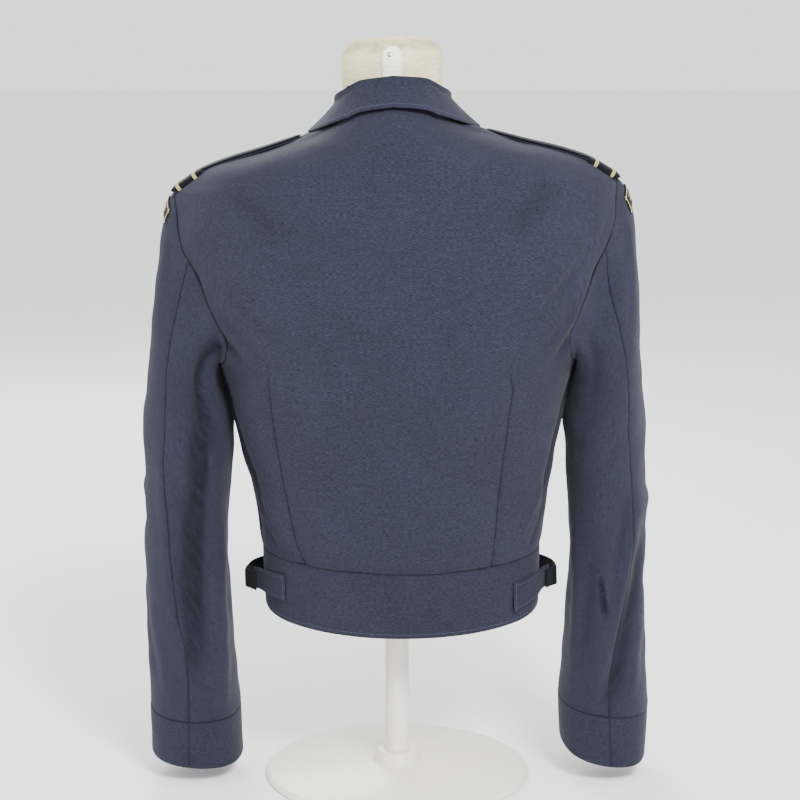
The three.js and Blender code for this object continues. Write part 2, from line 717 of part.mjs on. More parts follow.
function sleeve(side) {
  const left = side > 0;
  const endZ = left ? cuffEndZ.left : cuffEndZ.right;
  const skin = sleeveSkin(
    side,
    left ? leftSleeveSections : rightSleeveSections,
    left ? leftSleeveFolds : rightSleeveFolds,
    endZ,
  );
  const free = placer(skin, 1, 0.01, -side);
  const place = (turn, run, height) => {
    const share = smooth(run, 0, 0.05);
    if (share === 1) return free(turn, run, height);
    const angle = armholeAngle(turn);
    const z = armholeCentreZ + armholeHalf * Math.cos(radians(turn));
    const normal = normalAt(onBody, side > 0 ? angle : 180 - angle, z);
    return skin(turn, run).addScaledVector(normal.lerp(normalAt(free, turn, run), share), height);
  };
  const seam = curve(left ? leftBackSeam : rightBackSeam, 'turn');
  const tubeLength = bicepsZ - endZ;
  const cuffRun = 2 - cuffHeight / tubeLength;
  const runs = [...capRows.slice(0, -1), ...spread(1, cuffRun, sleeveRowCount)];
  const zAt = (run) => (run < 1 ? lerp(shoulderPointZ, bicepsZ, run) : lerp(bicepsZ, endZ, run - 1));
  const gapTurn = (turn, run) => {
    const speed = skin(turn + 1, run).distanceTo(skin(turn - 1, run)) / 2;
    return seamGap / 2 / speed;
  };
  const rows = (from, to) => {
    const [start, stop] = [from(0), to(0)];
    const shares = armholeTurns
      .filter((turn) => turn >= start && turn <= stop)
      .map((turn) => (turn - start) / (stop - start));
    return runs.map((run, i) => {
      const end = i === runs.length - 1 ? run - seamGap / 2 / tubeLength : run;
      const low = from(run) + gapTurn(from(run), run);
      const high = to(run) - gapTurn(to(run), run);
      return shares.map((share) => [lerp(low, high, share), end]);
    });
  };
  const front = () => frontSeamTurn;
  const back = (run) => seam(zAt(run));
  const cuffGrid = spread(cuffRun + seamGap / 2 / tubeLength, 2, 2).map((run) =>
    Array.from({ length: cuffColumns }, (_, i) => [(360 * i) / cuffColumns, run]),
  );
  const titleGrid = spread(...titleRun, 3).map((run) =>
    spread(-titleTurn, titleTurn, 6).map((turn) => [turn, run]),
  );
  return {
    top_sleeve: panel(place, rows(front, back), 0, clothWall),
    under_sleeve: panel(place, rows(back, () => frontSeamTurn + 360), 0, clothWall),
    cuff: panel(place, cuffGrid, 0, cuffWall, true),
    sleeve_title: panel(place, titleGrid, titleWall + titleLift, titleWall),
  };
}

// The collar turns up from the neckline, folds over, and falls to an edge that rests on the body
function collarSkin(angle, run) {
  const left = angle <= 90;
  const turn = left ? angle : 180 - angle;
  const row = Object.fromEntries(
    Object.entries(collarCurves).map(([column, value]) => [column, value(turn)]),
  );
  const neckZ = necklineZ(angle);
  const normal = normalAt(onBody, angle, neckZ);
  const onward = bodySkin(angle, neckZ + 1).sub(bodySkin(angle, neckZ - 1)).normalize();
  const gap = collarGap + throatGap * (1 - smooth(turn, -86, -72));
  const seam = bodySkin(angle, neckZ)
    .addScaledVector(onward, gap)
    .addScaledVector(normal, -collarWall);
  const out = new THREE.Vector3(normal.x, normal.y, 0).normalize();
  const fold = seam.clone().addScaledVector(out, -row.inward).setZ(seam.z + row.rise);
  if (run <= foldRun) {
    const rise = onward.clone().lerp(new THREE.Vector3(0, 0, 1), 0.5).normalize();
    const stand = new THREE.CubicBezierCurve3(
      seam,
      seam.clone().addScaledVector(rise, collarPull * row.rise),
      fold.clone().addScaledVector(out, -foldRadius),
      fold,
    );
    return stand.getPoint(Math.max(0, run / foldRun));
  }
  const edge = onBody(left ? row.edgeAngle : 180 - row.edgeAngle, row.edgeZ, row.lift);
  const slope = edge.clone().sub(fold);
  const fall = new THREE.CubicBezierCurve3(
    fold,
    fold.clone().addScaledVector(out, foldRadius),
    edge.clone().addScaledVector(slope, -collarPull),
    edge,
  );
  const share = Math.min(1, (run - foldRun) / (1 - foldRun));
  return clearOfBody(fall.getPoint(share), left ? row.edgeAngle : 180 - row.edgeAngle, row.edgeZ);
}

// Moves a point out until it clears the body by the collar's wall and a little more
function clearOfBody(point, angle, z) {
  let [u, v] = [angle, z];
  for (let step = 0; step < 12; step += 1) {
    const away = point.clone().sub(bodySkin(u, v));
    const alongU = bodySkin(u + 0.5, v).sub(bodySkin(u - 0.5, v));
    const alongV = bodySkin(u, v + 0.5).sub(bodySkin(u, v - 0.5));
    const [uu, uv, vv] = [alongU.lengthSq(), alongU.dot(alongV), alongV.lengthSq()];
    const [du, dv] = [away.dot(alongU), away.dot(alongV)];
    const scale = 0.8 / (uu * vv - uv * uv);
    u += THREE.MathUtils.clamp((du * vv - dv * uv) * scale, -8, 8);
    v += THREE.MathUtils.clamp((dv * uu - du * uv) * scale, -8, 8);
  }
  const normal = normalAt(onBody, u, v);
  const height = point.clone().sub(bodySkin(u, v)).dot(normal);
  const short = collarWall + fallClearance + lapLift(u < -90 ? -180 - u : u) - height;
  return short > 0 ? point.addScaledVector(normal, short) : point;
}

const collarCurves = Object.fromEntries(
  Object.keys(collarTable[0]).map((column) => [column, curve(collarTable, column, 'angle')]),
);

function collar() {
  const place = placer(collarSkin, 1, 0.01, -1);
  const runs = [0, 0.16, 0.28, 0.35, 0.4, 0.46, 0.56, 0.72, 0.86, 1];
  const end = collarTable[collarTable.length - 1].angle;
  const half = spread(-90 - frontEdgePast, 0, frontColumns).filter((angle) => angle > end + 2);
  const front = [end, ...half.slice(0, -1)];
  const columns = [...front, ...spread(0, 180, backColumns), ...front.map((a) => 180 - a).reverse()];
  const grid = runs.map((run) => columns.map((angle) => [angle, run]));
  return panel(place, grid, 0, collarWall);
}

const strapHalf = curve(strapWidths, 'half');

// The shoulder strap's own skin: along the shoulder ridge, nearly flat across it
function strapPlace(side) {
  return (across, z, height) => {
    const ridge = side > 0 ? 0 : 180;
    const normal = normalAt(onBody, ridge, z);
    const droop = strapEdgeDroop * (across / strapWidths[0].half) ** 2;
    const up = strapLift + height - droop;
    return bodySkin(ridge, z).addScaledVector(normal, up).add(new THREE.Vector3(0, across, 0));
  };
}

function shoulderStrap(side) {
  const grid = strapRows.map((z) => spread(-strapHalf(z), strapHalf(z), 6).map((y) => [y, z]));
  return panel(strapPlace(side), grid, strapWall, strapWall);
}

// A flattened tube of cloth slid over the strap's outer end
function strapSlide(side) {
  const place = strapPlace(side);
  const loop = (z, grow) => {
    const half = strapHalf(z) + slideClearance + grow;
    const low = -slideClearance - grow;
    const high = strapWall + slideClearance + grow;
    const acrossUp = spread(-half, half, 4).map((y) => place(y, z, high));
    const acrossDown = spread(half, -half, 4).map((y) => place(y, z, low));
    return [...acrossUp, ...acrossDown];
  };
  const outer = slideRows.map((z) => loop(z, slideWall));
  const inner = slideRows.map((z) => loop(z, 0));
  return wall(outer, inner, true);
}

// A strip of cloth standing on edge along a path in plan, its low and high edges sloping evenly
function strip(points, lows, highs, count) {
  const path = new THREE.CatmullRomCurve3(
    points.map(([x, y]) => new THREE.Vector3(x, y, 0)),
    false,
    'centripetal',
  );
  const grid = (by) =>
    [0, 0.5, 1].map((share) =>
      spread(0, 1, count).map((t) => {
        const tangent = path.getTangent(t);
        const inward = new THREE.Vector3(tangent.y, -tangent.x, 0).multiplyScalar(by);
        const z = lerp(lerp(lows[0], lows[1], t), lerp(highs[0], highs[1], t), share);
        return lean(path.getPoint(t).add(inward).setZ(z));
      }),
    );
  return wall(grid(0), grid(adjusterWall));
}

// Plan places on the band, lifted off it by the adjuster's wall and a small gap
function bandPlan(angle) {
  const z = (hemZ + waistSeamZ) / 2;
  const depth = angle > 0 ? body.back(z) : body.front(z);
  const [x, y] = sectionPoint(body.side(z), depth, body.full(z), angle);
  const reach = 1 + (adjusterLift + adjusterWall) / Math.hypot(x, y);
  return [x * reach, y * reach];
}

// Plan places by the buckle: along it towards the front, and out from it
function bucklePlan(sizes, along, out) {
  const [dx, dy] = buckleAlong;
  return [sizes.buckleX + dx * along - dy * out, buckleY + dy * along + dx * out];
}

function sideTab(side, sizes) {
  const under = -(buckleWall / 2 + adjusterWall + 2 * buckleClearance);
  const path = [
    ...[sizes.tabEnd, ...tabTurns].map(bandPlan),
    ...tabPlaces.map((along) => bucklePlan(sizes, along, under)),
  ];
  const flipped = path.map(([x, y]) => [x * side, y]);
  const [low, high] = [sizes.tabLow, sizes.tabHigh];
  if (side > 0) return strip(flipped, low, high, 12);
  return strip(flipped.reverse(), [...low].reverse(), [...high].reverse(), 12);
}

function sideStrap(side, sizes) {
  const under = -(buckleWall / 2 + buckleClearance);
  const path = [
    ...strapTurns.map(bandPlan),
    ...strapBend.map(([x, y]) => [sizes.buckleX + x, buckleY + y]),
    ...strapPlaces.map((along) => bucklePlan(sizes, along, under)),
  ];
  const flipped = path.map(([x, y]) => [x * side, y]);
  const [low, high] = [sizes.strapLow, sizes.strapHigh];
  if (side < 0) return strip(flipped, low, high, 14);
  return strip(flipped.reverse(), [...low].reverse(), [...high].reverse(), 14);
}

// An open frame with a middle bar, rounded on its outer side
function sideBuckle() {
  const [w, h] = [buckleWidth / 2, buckleHeight / 2];
  const outline = new THREE.Shape();
  outline.moveTo(-w, -h + buckleCorner);
  outline.quadraticCurveTo(-w, -h, -w + buckleCorner, -h);
  outline.quadraticCurveTo(w, -h, w, 0);
  outline.quadraticCurveTo(w, h, -w + buckleCorner, h);
  outline.quadraticCurveTo(-w, h, -w, h - buckleCorner);
  const window = (left, right, top) => {
    const hole = new THREE.Path();
    hole.moveTo(left, -top);
    hole.lineTo(left, top);
    hole.lineTo(right, top);
    hole.lineTo(right, -top);
    return hole;
  };
  outline.holes.push(
    window(-w + buckleBar, -buckleBar / 2, h - buckleBar - slotInset.strap),
    window(buckleBar / 2, w - buckleBar - slotEase, h - buckleBar - slotInset.tab),
  );
  const options = { depth: buckleWall, bevelEnabled: false, curveSegments: 5 };
  return new THREE.ExtrudeGeometry(outline, options).translate(0, 0, -buckleWall / 2);
}

function button() {
  const profile = [
    [0, 0],
    [buttonRadius - 1, 0],
    [buttonRadius, buttonWall / 2],
    [buttonRadius - 1.2, buttonWall],
    [buttonRadius - buttonRim, buttonWall - buttonDish],
    [0, buttonWall - buttonDish],
  ];
  const points = profile.map(([radius, height]) => new THREE.Vector2(radius, height));
  return new THREE.LatheGeometry(points, 12).rotateX(Math.PI / 2);
}

function formSkin(angle, z) {
  const depth = Math.sin(radians(angle)) > 0 ? form.back(z) : form.front(z);
  const [x, y] = sectionPoint(form.side(z), depth, form.full(z), angle);
  return lean(new THREE.Vector3(x, y, z));
}

function dressForm() {
  const around = Array.from({ length: 26 }, (_, i) => (360 * i) / 26);
  return loft(formSections.map(({ z }) => around.map((angle) => formSkin(angle, z))));
}

function neckTape() {
  const place = placer(formSkin);
  const grid = spread(...neckTapeZ, neckTapeRows).map((z, i) => {
    const half = (neckTapeWidth / 2) * (i === neckTapeRows ? neckTapeEnd : 1);
    const turn = THREE.MathUtils.radToDeg(half / form.side(z));
    return spread(90 - turn, 90 + turn, 3).map((angle) => [angle, z]);
  });
  return panel(place, grid, neckTapeWall + neckTapeLift, neckTapeWall);
}

function lathe(profile, segments) {
  const points = profile.map(([radius, z]) => new THREE.Vector2(radius, z));
  return new THREE.LatheGeometry(points, segments).rotateX(Math.PI / 2);
}

function standBase() {
  return lathe(
    [
      [0, 0],
      [baseRadius - 2, 0],
      [baseRadius, 2],
      [baseRadius, 5],
      [baseRadius - 4, 8],
      [collarRingRadius + 8, baseHeight],
      [collarRingRadius, baseHeight + 3],
      [collarRingRadius - 3, baseHeight + collarRingHeight],
      [0, baseHeight + collarRingHeight],
    ],
    32,
  );
}

function standPost() {
  const low = baseHeight + collarRingHeight + touchGap;
  const high = formSections[0].z - touchGap;
  return lathe([[0, low], [postRadius, low], [postRadius, high], [0, high]], 24);
}

const finish = (color, roughness, metalness = 0) =>
  new THREE.MeshStandardMaterial({ color, roughness, metalness, side: THREE.DoubleSide });
const serge = finish(0x4c5166, 0.9);
const darkCloth = finish(0x16181c, 0.8);
const blackEnamel = finish(0x101012, 0.35, 0.6);
const darkButton = finish(0x1c2233, 0.45);
const linen = finish(0xdcd4bd, 0.85);
const whitePaint = finish(0xe8e6e0, 0.5, 0.1);

const blouse = new THREE.Group();

function add(name, geometry, material) {
  const mesh = new THREE.Mesh(geometry, material);
  mesh.name = name;
  blouse.add(mesh);
  return mesh;
}

// Sets a button on a skin, square to it
function addButton(name, geometry, place, u, v, lift) {
  const mesh = add(name, geometry, darkButton);
  mesh.position.copy(place(u, v, lift));
  const normal = place(u, v, lift + 1).sub(mesh.position).normalize();
  mesh.quaternion.setFromUnitVectors(new THREE.Vector3(0, 0, 1), normal);
}

add('back', backPanel(), serge);
add('front_left', frontPanel(true), serge);
add('front_right', frontPanel(false), serge);
const bandGap = gapAngle(sideSeam, 212, seamGap / 2);
add('band_back', bandPiece(sideSeam + bandGap, 180 - sideSeam - bandGap, 26), serge);
const bandLift = (angle) => (lapLift(angle) * bandOverlapLift) / overlapLift;
add('band_front_left', bandPiece(-90 - bandEdgePast, sideSeam - bandGap, 14, bandLift), serge);
add('band_front_right', bandPiece(180 - sideSeam + bandGap, 270 + frontEdgePast, 14), serge);
add('collar', collar(), serge);

for (const [side, word] of [[1, 'left'], [-1, 'right']]) {
  const pieces = sleeve(side);
  for (const [name, geometry] of Object.entries(pieces)) {
    add(`${name}_${word}`, geometry, name === 'sleeve_title' ? darkCloth : serge);
  }
  add(`shoulder_strap_${word}`, shoulderStrap(side), serge);
  add(`strap_slide_${word}`, strapSlide(side), darkCloth);
  addButton(`strap_button_${word}`, button(), strapPlace(side), 0, strapButtonZ, strapWall + touchGap);
  const sizes = adjusters[word];
  add(`side_tab_${word}`, sideTab(side, sizes), serge);
  add(`side_strap_${word}`, sideStrap(side, sizes), darkCloth);
  const buckle = add(`side_buckle_${word}`, sideBuckle(), blackEnamel);
  const { buckleX, buckleZ } = sizes;
  buckle.position.set(side * buckleX + shiftAt(buckleZ), buckleY, buckleZ);
  const along = new THREE.Vector3(buckleAlong[0] * side, buckleAlong[1], 0);
  const up = new THREE.Vector3(0, 0, 1);
  const turned = new THREE.Matrix4().makeBasis(along, up, along.clone().cross(up));
  buckle.quaternion.setFromRotationMatrix(turned);
}

frontButtonZ.forEach((z, i) => {
  addButton(`front_button_${i + 1}`, button(), onBody, -90, z, overlapLift + touchGap);
});
addButton('band_button', button(), onBody, -90, bandButtonZ, bandOverlapLift + touchGap);

add('dress_form', dressForm(), linen);
add('form_neck_tape', neckTape(), linen);
add('stand_post', standPost(), whitePaint);
add('stand_base', standBase(), whitePaint);

export default blouse;
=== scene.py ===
"""Looks of a waist-length wool uniform blouse worn by a limbless dress form on a post and round base.

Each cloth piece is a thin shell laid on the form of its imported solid, with folds, seams and stitches.
Lengths in the tables are millimetres, as on a cutting table, and every mesh is written in metres.
"""

from __future__ import annotations

import logging
import math
from dataclasses import dataclass
from enum import Enum
from typing import Callable, Sequence

import bmesh
import bpy
import numpy as np
from mathutils import Matrix, Vector

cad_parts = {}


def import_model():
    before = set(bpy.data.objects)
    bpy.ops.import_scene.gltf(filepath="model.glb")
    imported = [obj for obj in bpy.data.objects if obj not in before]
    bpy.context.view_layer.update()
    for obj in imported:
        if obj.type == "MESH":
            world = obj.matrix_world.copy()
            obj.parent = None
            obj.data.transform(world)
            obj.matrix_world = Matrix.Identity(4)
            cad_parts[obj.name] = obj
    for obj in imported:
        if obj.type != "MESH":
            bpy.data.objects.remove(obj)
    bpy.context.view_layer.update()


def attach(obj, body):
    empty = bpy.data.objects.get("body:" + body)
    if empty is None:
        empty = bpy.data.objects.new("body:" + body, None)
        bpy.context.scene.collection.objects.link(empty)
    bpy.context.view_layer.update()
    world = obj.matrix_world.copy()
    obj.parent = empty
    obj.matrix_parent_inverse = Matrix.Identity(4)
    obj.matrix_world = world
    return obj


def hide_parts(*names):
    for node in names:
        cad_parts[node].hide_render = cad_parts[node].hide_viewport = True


LOG = logging.getLogger("blouse")
MM = 0.001
ROOT = "root"

Array = np.ndarray
Row = tuple[float, ...]
Pair = tuple[float, float]
Triple = tuple[float, float, float]
Object = bpy.types.Object
Socket = bpy.types.NodeSocket

# Heights of the cut, as in the solids
HEM_Z = 180.0
WAIST_Z = 243.0
ARMPIT_Z = 446.0
SHOULDER_Z = 630.0
NECK_Z = 697.0
BICEPS_Z = 428.0
CUFF_HEIGHT = 53.0
LEFT_CUFF_END = 24.0
RIGHT_CUFF_END = 31.0
SIDE_SEAM = -6.0
FRONT_LAP = 8.0
CLOTH_WALL = 1.6
BAND_WALL = 2.6
COLLAR_WALL = 2.2
LAP_LIFT = 2.6
SEAM_GAP = 0.16
BAND_LAP = 3.3

SECTION_COLUMNS = ("z", "side", "back", "front", "full")
BODY_SECTIONS: Sequence[Row] = (
    (178, 143.5, 90, 88, 0.1),
    (212, 145, 92, 90, 0.1),
    (243, 145.5, 93, 91, 0.1),
    (256, 148, 99, 99, 0.11),
    (300, 152.5, 104, 106, 0.12),
    (345, 161, 111, 112, 0.13),
    (385, 170, 118, 118, 0.14),
    (425, 178, 124, 121, 0.15),
    (446, 183, 126, 122, 0.15),
    (458, 190, 127, 122, 0.15),
    (475, 203, 128, 122, 0.14),
    (500, 219, 128, 120, 0.13),
    (530, 226, 126, 115, 0.12),
    (560, 231, 122, 109, 0.1),
    (590, 233, 115, 101, 0.08),
    (612, 230, 109, 95, 0.06),
    (630, 224.5, 104, 88, 0.05),
    (638.5, 213, 102, 85, 0.04),
    (648.5, 196, 100, 80, 0.04),
    (658.5, 168.5, 98, 75, 0.05),
    (668, 133, 96, 70, 0.07),
    (675.5, 107, 94, 66, 0.1),
    (682, 84, 92, 62, 0.14),
    (688, 71, 90, 59, 0.17),
    (693, 62, 88, 56, 0.19),
    (697, 57.5, 85.5, 54, 0.2),
    (705, 56, 78, 52, 0.2),
    (716, 55, 64, 50, 0.2),
)
FORM_SECTIONS: Sequence[Row] = (
    (196, 133, 81, 79, 0.1),
    (243, 135, 83, 81, 0.1),
    (300, 141, 92, 92, 0.1),
    (350, 150, 101, 102, 0.1),
    (400, 160, 110, 108, 0.1),
    (446, 171, 117, 113, 0.1),
    (490, 185, 119, 112, 0.1),
    (530, 196, 117, 106, 0.1),
    (565, 205, 112, 99, 0.08),
    (595, 210, 106, 92, 0.06),
    (615, 211, 101, 86, 0.05),
    (628.6, 208.4, 98.5, 82, 0.04),
    (636.7, 202, 97, 79, 0.04),
    (646.7, 184, 95, 75, 0.04),
    (656.7, 158, 92, 70, 0.04),
    (666.2, 129.5, 89, 65, 0.03),
    (673.7, 105.5, 86, 61, 0.02),
    (680.2, 82.5, 82, 57, 0),
    (685.5, 68, 78, 53, 0),
    (691, 57, 74, 50, 0),
    (697, 51, 68, 47, 0),
    (705, 49, 59, 45, 0),
    (714, 48.5, 52, 44, 0),
    (723, 49.7, 50, 44, 0.03),
    (735, 51, 49, 44, 0.05),
    (756, 51.5, 49, 45, 0.08),
    (766, 49, 46, 42, 0.08),
    (773, 42, 40, 36, 0.06),
    (777, 29, 28, 25, 0.04),
)
NECKLINE = {-90: 634, -82: 645, -70: 661, -50: 677, -25: 688.5, 0: 697, 30: 703, 60: 711, 90: 714}
SIDE_SHIFT = {180: -5.5, 243: -5, 450: -1, 634: 1.5, 740: 5}
SHOULDER_DROP = {243: 0, 450: 0.012, 600: 0.031, 700: 0.031, 780: 0.02}
ARMHOLE_ANGLES = (0, 14, 22.5, 31.5, 37, 27, SIDE_SEAM, -33, -41, -33, -23, -13)

# Depths where a fold's trough starts to take painted shade and where that shade is darkest, and the mean
# radii for its width
TROUGH_DEPTHS = (0.8, 7.5)
BACK_RADIUS = 150.0
SLEEVE_RADIUS = 42.0

# The rise of the waist seam and of the hem above their heights: at the side, behind and before
WAIST_RISE = (12.0, -1.5, 8.0)
HEM_RISE = (10.0, -6.5, 8.0)
RISE_TOP = 330.0

# Rows of the body panels: height on the side seam, turn round the armhole or height on the shoulder
# seam, and the heights where each row crosses the centre of the back and of the front
SEAM_ROWS = (243, 254, 270, 300, 334, 370, 408, 446)
ARMHOLE_ROWS = (180, 168, 154, 138, 120, 98, 75, 57, 39, 22, 8, 0)
SHOULDER_ROWS = (630, 638.5, 648.5, 660, 672, 684, 692, 697)
BACK_ROWS = (
    *(243, 254, 270, 300, 330, 361, 393, 424, 440, 456, 474, 494, 518),
    *(543, 563, 584, 604, 619, 628, 641, 656, 673, 689, 702, 710, 714),
)
FRONT_ROWS = (
    *(243, 254, 270, 298, 326, 355, 384, 412, 426, 440, 455, 472, 491),
    *(512, 528, 543, 556, 566, 572, 582, 593, 605, 617, 626, 631, 634),
)

SLEEVE_COLUMNS = ("z", "outer", "inner", "depth", "middle", "tilt", "pitch")
LEFT_SLEEVE: Sequence[Row] = (
    (428, 257.5, 180.2, 72, 4, 0, 0),
    (400, 260, 173.4, 70, 4, 0, 0),
    (378, 261, 170.5, 68, 4, 0, 0),
    (345, 262, 172, 66, 4, 0, 0),
    (300, 263, 175.5, 62, 6, 0, 0),
    (250, 264, 178, 60, 5, 0, 0),
    (200, 264.5, 176.5, 58, 1, 0, -1),
    (150, 264, 173, 56, -3, 1, -4),
    (100, 263.5, 169.5, 54, -7, 3, -8),
    (77, 263.5, 168, 53, -9, 3, -8),
    (24, 262.5, 166, 52, -11, 4, -6),
)
RIGHT_SLEEVE: Sequence[Row] = (
    (428, 252.5, 180.8, 72, 4, 0, 0),
    (400, 255, 176.2, 70, 4, 0, 0),
    (378, 256, 174, 68, 4, 0, 0),
    (345, 257.5, 176, 66, 4, 0, 0),
    (300, 259, 179, 62, 6, 0, 0),
    (250, 260, 180.5, 60, 5, 0, 0),
    (200, 261, 178, 58, 1, 0, -1),
    (150, 262.5, 175.5, 56, -3, -1, -4),
    (100, 265, 173, 54, -7, -4, -8),
    (84, 266.5, 172, 53, -9, -5, -9),
    (31, 265.5, 174, 52, -11, -8, -11),
)
LEFT_BACK_SEAM = {
    **{630: 75, 590: 78, 530: 79.5, 474: 76, 418: 70.5, 360: 66.5},
    **{284: 74.5, 187: 83, 140: 90, 24: 85},
}
RIGHT_BACK_SEAM = {
    **{630: 75, 587: 82, 551: 84, 496: 79.5, 437: 68, 360: 62},
    **{291: 59, 230: 63, 170: 76, 105: 87, 31: 84},
}
FRONT_SEAM = -120.0

# Gaps of the sleeve's seams, in degrees along it and as a run above the cuff, and where the title lies
SEAM_TURN = 0.06
CUFF_GAP_RUN = 0.0002
TITLE_RUN = (0.1, 0.24)
TITLE_TURN = 32.0

COLLAR_COLUMNS = ("angle", "rise", "inward", "edge_angle", "edge_z", "lift")
COLLAR_TABLE: Sequence[Row] = (
    (90, 27, 8.4, 90, 705.5, 7),
    (65, 27, 7.2, 62, 701, 9),
    (45, 26, 6.2, 44, 694, 7.5),
    (25, 23, 4.5, 28, 688, 6),
    (0, 20, 2.5, 6, 682, 4.8),
    (-20, 20, 3, -25, 679, 4.6),
    (-40, 20, 6, -50, 670, 4.6),
    (-60, 20, 7, -62, 656, 4.6),
    (-75, 21, 5, -69, 638, 4.6),
    (-88, 23, 3, -75, 608, 5),
)


class Side(Enum):
    """A side of the wearer, with the sign of its X."""

    LEFT = 1
    RIGHT = -1

    @property
    def word(self) -> str:
        """The side's name in node and piece names."""
        return self.name.lower()


class Edge(Enum):
    """What a border of a cloth piece is."""

    SEAM = "sewn to its neighbour"
    FREE = "turned in and free"
    PLAIN = "left as it is"


ALL_FREE = (Edge.FREE,) * 4
SEWN_START = (Edge.SEAM, Edge.FREE, Edge.FREE, Edge.FREE)


@dataclass(frozen=True)
class Fold:
    """A soft ridge, or a trough where rise is negative, between two places on a skin."""

    angle0: float
    z0: float
    angle1: float
    z1: float
    width: float
    rise: float


def both(*fold: float) -> tuple[Fold, Fold]:
    """A fold of the body and its mirror image."""
    angle0, z0, angle1, z1, width, rise = fold
    return Fold(*fold), Fold(180 - angle0, z0, 180 - angle1, z1, width, rise)


BODY_FOLDS = (
    Fold(27, 565, 40, 452, 13, -5),
    Fold(153, 560, 140, 455, 13, -5),
    *both(8, 440, 22, 300, 16, -5),
    *both(-24, 400, -20, 275, 20, 6),
    *both(-48, 545, -60, 430, 16, -4),
)
LEFT_FOLDS = (
    Fold(60, 380, 86, 140, 8, 3.5),
    Fold(160, 285, 131, 78, 10, 5),
    Fold(105, 330, 108, 110, 16, -5),
    Fold(300, 360, 330, 200, 14, -4),
)
RIGHT_FOLDS = (
    Fold(34, 290, 94, 84, 11, -7),
    Fold(52, 300, 110, 88, 10, 4),
    Fold(160, 310, 126, 88, 10, 4),
    Fold(300, 350, 330, 210, 14, -4),
)
FINE_BODY_FOLDS = (
    Fold(40, 520, 52, 452, 9, -2.4),
    Fold(140, 520, 128, 455, 9, -2.4),
    Fold(46, 470, 62, 400, 10, 1.6),
    Fold(134, 465, 119, 405, 10, 1.6),
    Fold(24, 330, 44, 262, 8, 2.4),
    Fold(16, 300, 33, 252, 7, -2.2),
    Fold(156, 330, 136, 262, 8, 2.4),
    Fold(163, 305, 147, 252, 7, -2.2),
    Fold(58, 300, 76, 256, 9, 1.5),
    Fold(122, 300, 105, 256, 9, 1.5),
    Fold(84, 290, 92, 256, 10, -1.2),
    *both(44, 640, 66, 575, 14, -3.4),
    *both(28, 600, 56, 520, 9, 2.4),
    Fold(36, 580, 62, 470, 9, -2.6),
    Fold(146, 585, 120, 480, 9, -2.6),
    Fold(60, 660, 84, 640, 10, 1.4),
    Fold(121, 664, 98, 642, 10, 1.4),
    Fold(70, 600, 78, 500, 22, 1.6),
    Fold(112, 600, 103, 500, 22, 1.6),
    Fold(2, 345, 14, 262, 7, -4.5),
    Fold(13, 352, 25, 262, 7, 2.2),
    *both(-40, 330, -52, 262, 9, 2),
    *both(-62, 620, -72, 520, 14, -2),
    *both(-16, 681, 22, 685, 8, 9),
    Fold(182, 480, 178, 385, 26, 3),
)
FINE_LEFT_FOLDS = (
    Fold(-78, 345, 28, 312, 8, 2.6),
    Fold(-84, 300, 22, 286, 7, -2.6),
    Fold(-70, 262, 12, 248, 8, 2.2),
    Fold(-24, 425, 34, 362, 12, 2),
    Fold(112, 400, 104, 180, 9, -5.5),
    Fold(82, 260, 96, 120, 6, -3),
    Fold(120, 405, 150, 350, 8, -2.4),
    Fold(100, 398, 128, 340, 8, 1.8),
    Fold(20, 230, 48, 110, 10, -2.6),
    Fold(36, 210, 62, 105, 8, 1.8),
    Fold(130, 190, 116, 84, 7, 2),
    Fold(-30, 300, 10, 210, 12, -2.4),
    Fold(150, 250, 172, 170, 9, -2),
    Fold(88, 425, 118, 300, 9, -2),
)
FINE_RIGHT_FOLDS = (
    Fold(118, 260, 128, 120, 8, -3.5),
    Fold(-74, 338, 30, 300, 8, 2.6),
    Fold(-86, 296, 18, 276, 7, -2.6),
    Fold(-66, 256, 16, 236, 8, 2.2),
    Fold(-20, 420, 36, 350, 12, 2),
    Fold(66, 330, 92, 150, 9, -4.5),
    Fold(60, 395, 96, 350, 8, -2),
    Fold(120, 402, 146, 352, 8, -2.2),
    Fold(135, 200, 128, 88, 7, -2),
    Fold(24, 210, 60, 96, 8, 1.8),
    Fold(8, 250, 34, 130, 9, -2.2),
    Fold(-30, 300, 10, 210, 12, -2.4),
    Fold(150, 240, 170, 160, 9, -1.8),
    Fold(180, 485, 180, 372, 26, 4.5),
    Fold(107, 231, 96, 187, 3, -5),
    Fold(101, 229, 90, 191, 3, 2.6),
    Fold(110, 222, 103, 197, 3, 1.2),
    Fold(102, 214, 94, 206, 2.6, 1.6),
)
HEAD_FOLDS = {
    Side.LEFT: (
        Fold(138, 620, 112, 330, 10, -7.5),
        Fold(152, 560, 138, 420, 7, 2.2),
        Fold(100, 560, 90, 400, 8, 1.8),
        Fold(64, 600, 72, 470, 9, -1.5),
    ),
    Side.RIGHT: (
        Fold(112, 560, 124, 400, 8, -3),
        Fold(142, 570, 150, 440, 7, 2),
        Fold(84, 540, 96, 430, 8, 1.8),
        Fold(60, 600, 66, 480, 9, -1.5),
    ),
}


def smooth(x: Array, low: float, high: float) -> Array:
    """Rises smoothly from 0 at low to 1 at high."""
    t = np.clip((np.asarray(x, float) - low) / (high - low), 0, 1)
    return t * t * (3 - 2 * t)


def lerp(a: Array | float, b: Array | float, share: Array | float) -> Array:
    """The value a share of the way from a to b."""
    return a + (b - a) * share


def bell(x: Array, width: float) -> Array:
    """A soft bump of height 1 at 0 that is about width wide on each side."""
    return np.exp(-((x / width) ** 2))


def unit(vectors: Array) -> Array:
    """The same directions with length 1."""
    return vectors / np.maximum(np.linalg.norm(vectors, axis=-1, keepdims=True), 1e-12)


def over(value: Array | float, shape: tuple[int, ...]) -> Array:
    """A value or grid as an array of the shape."""
    return np.broadcast_to(np.asarray(value, float), shape)


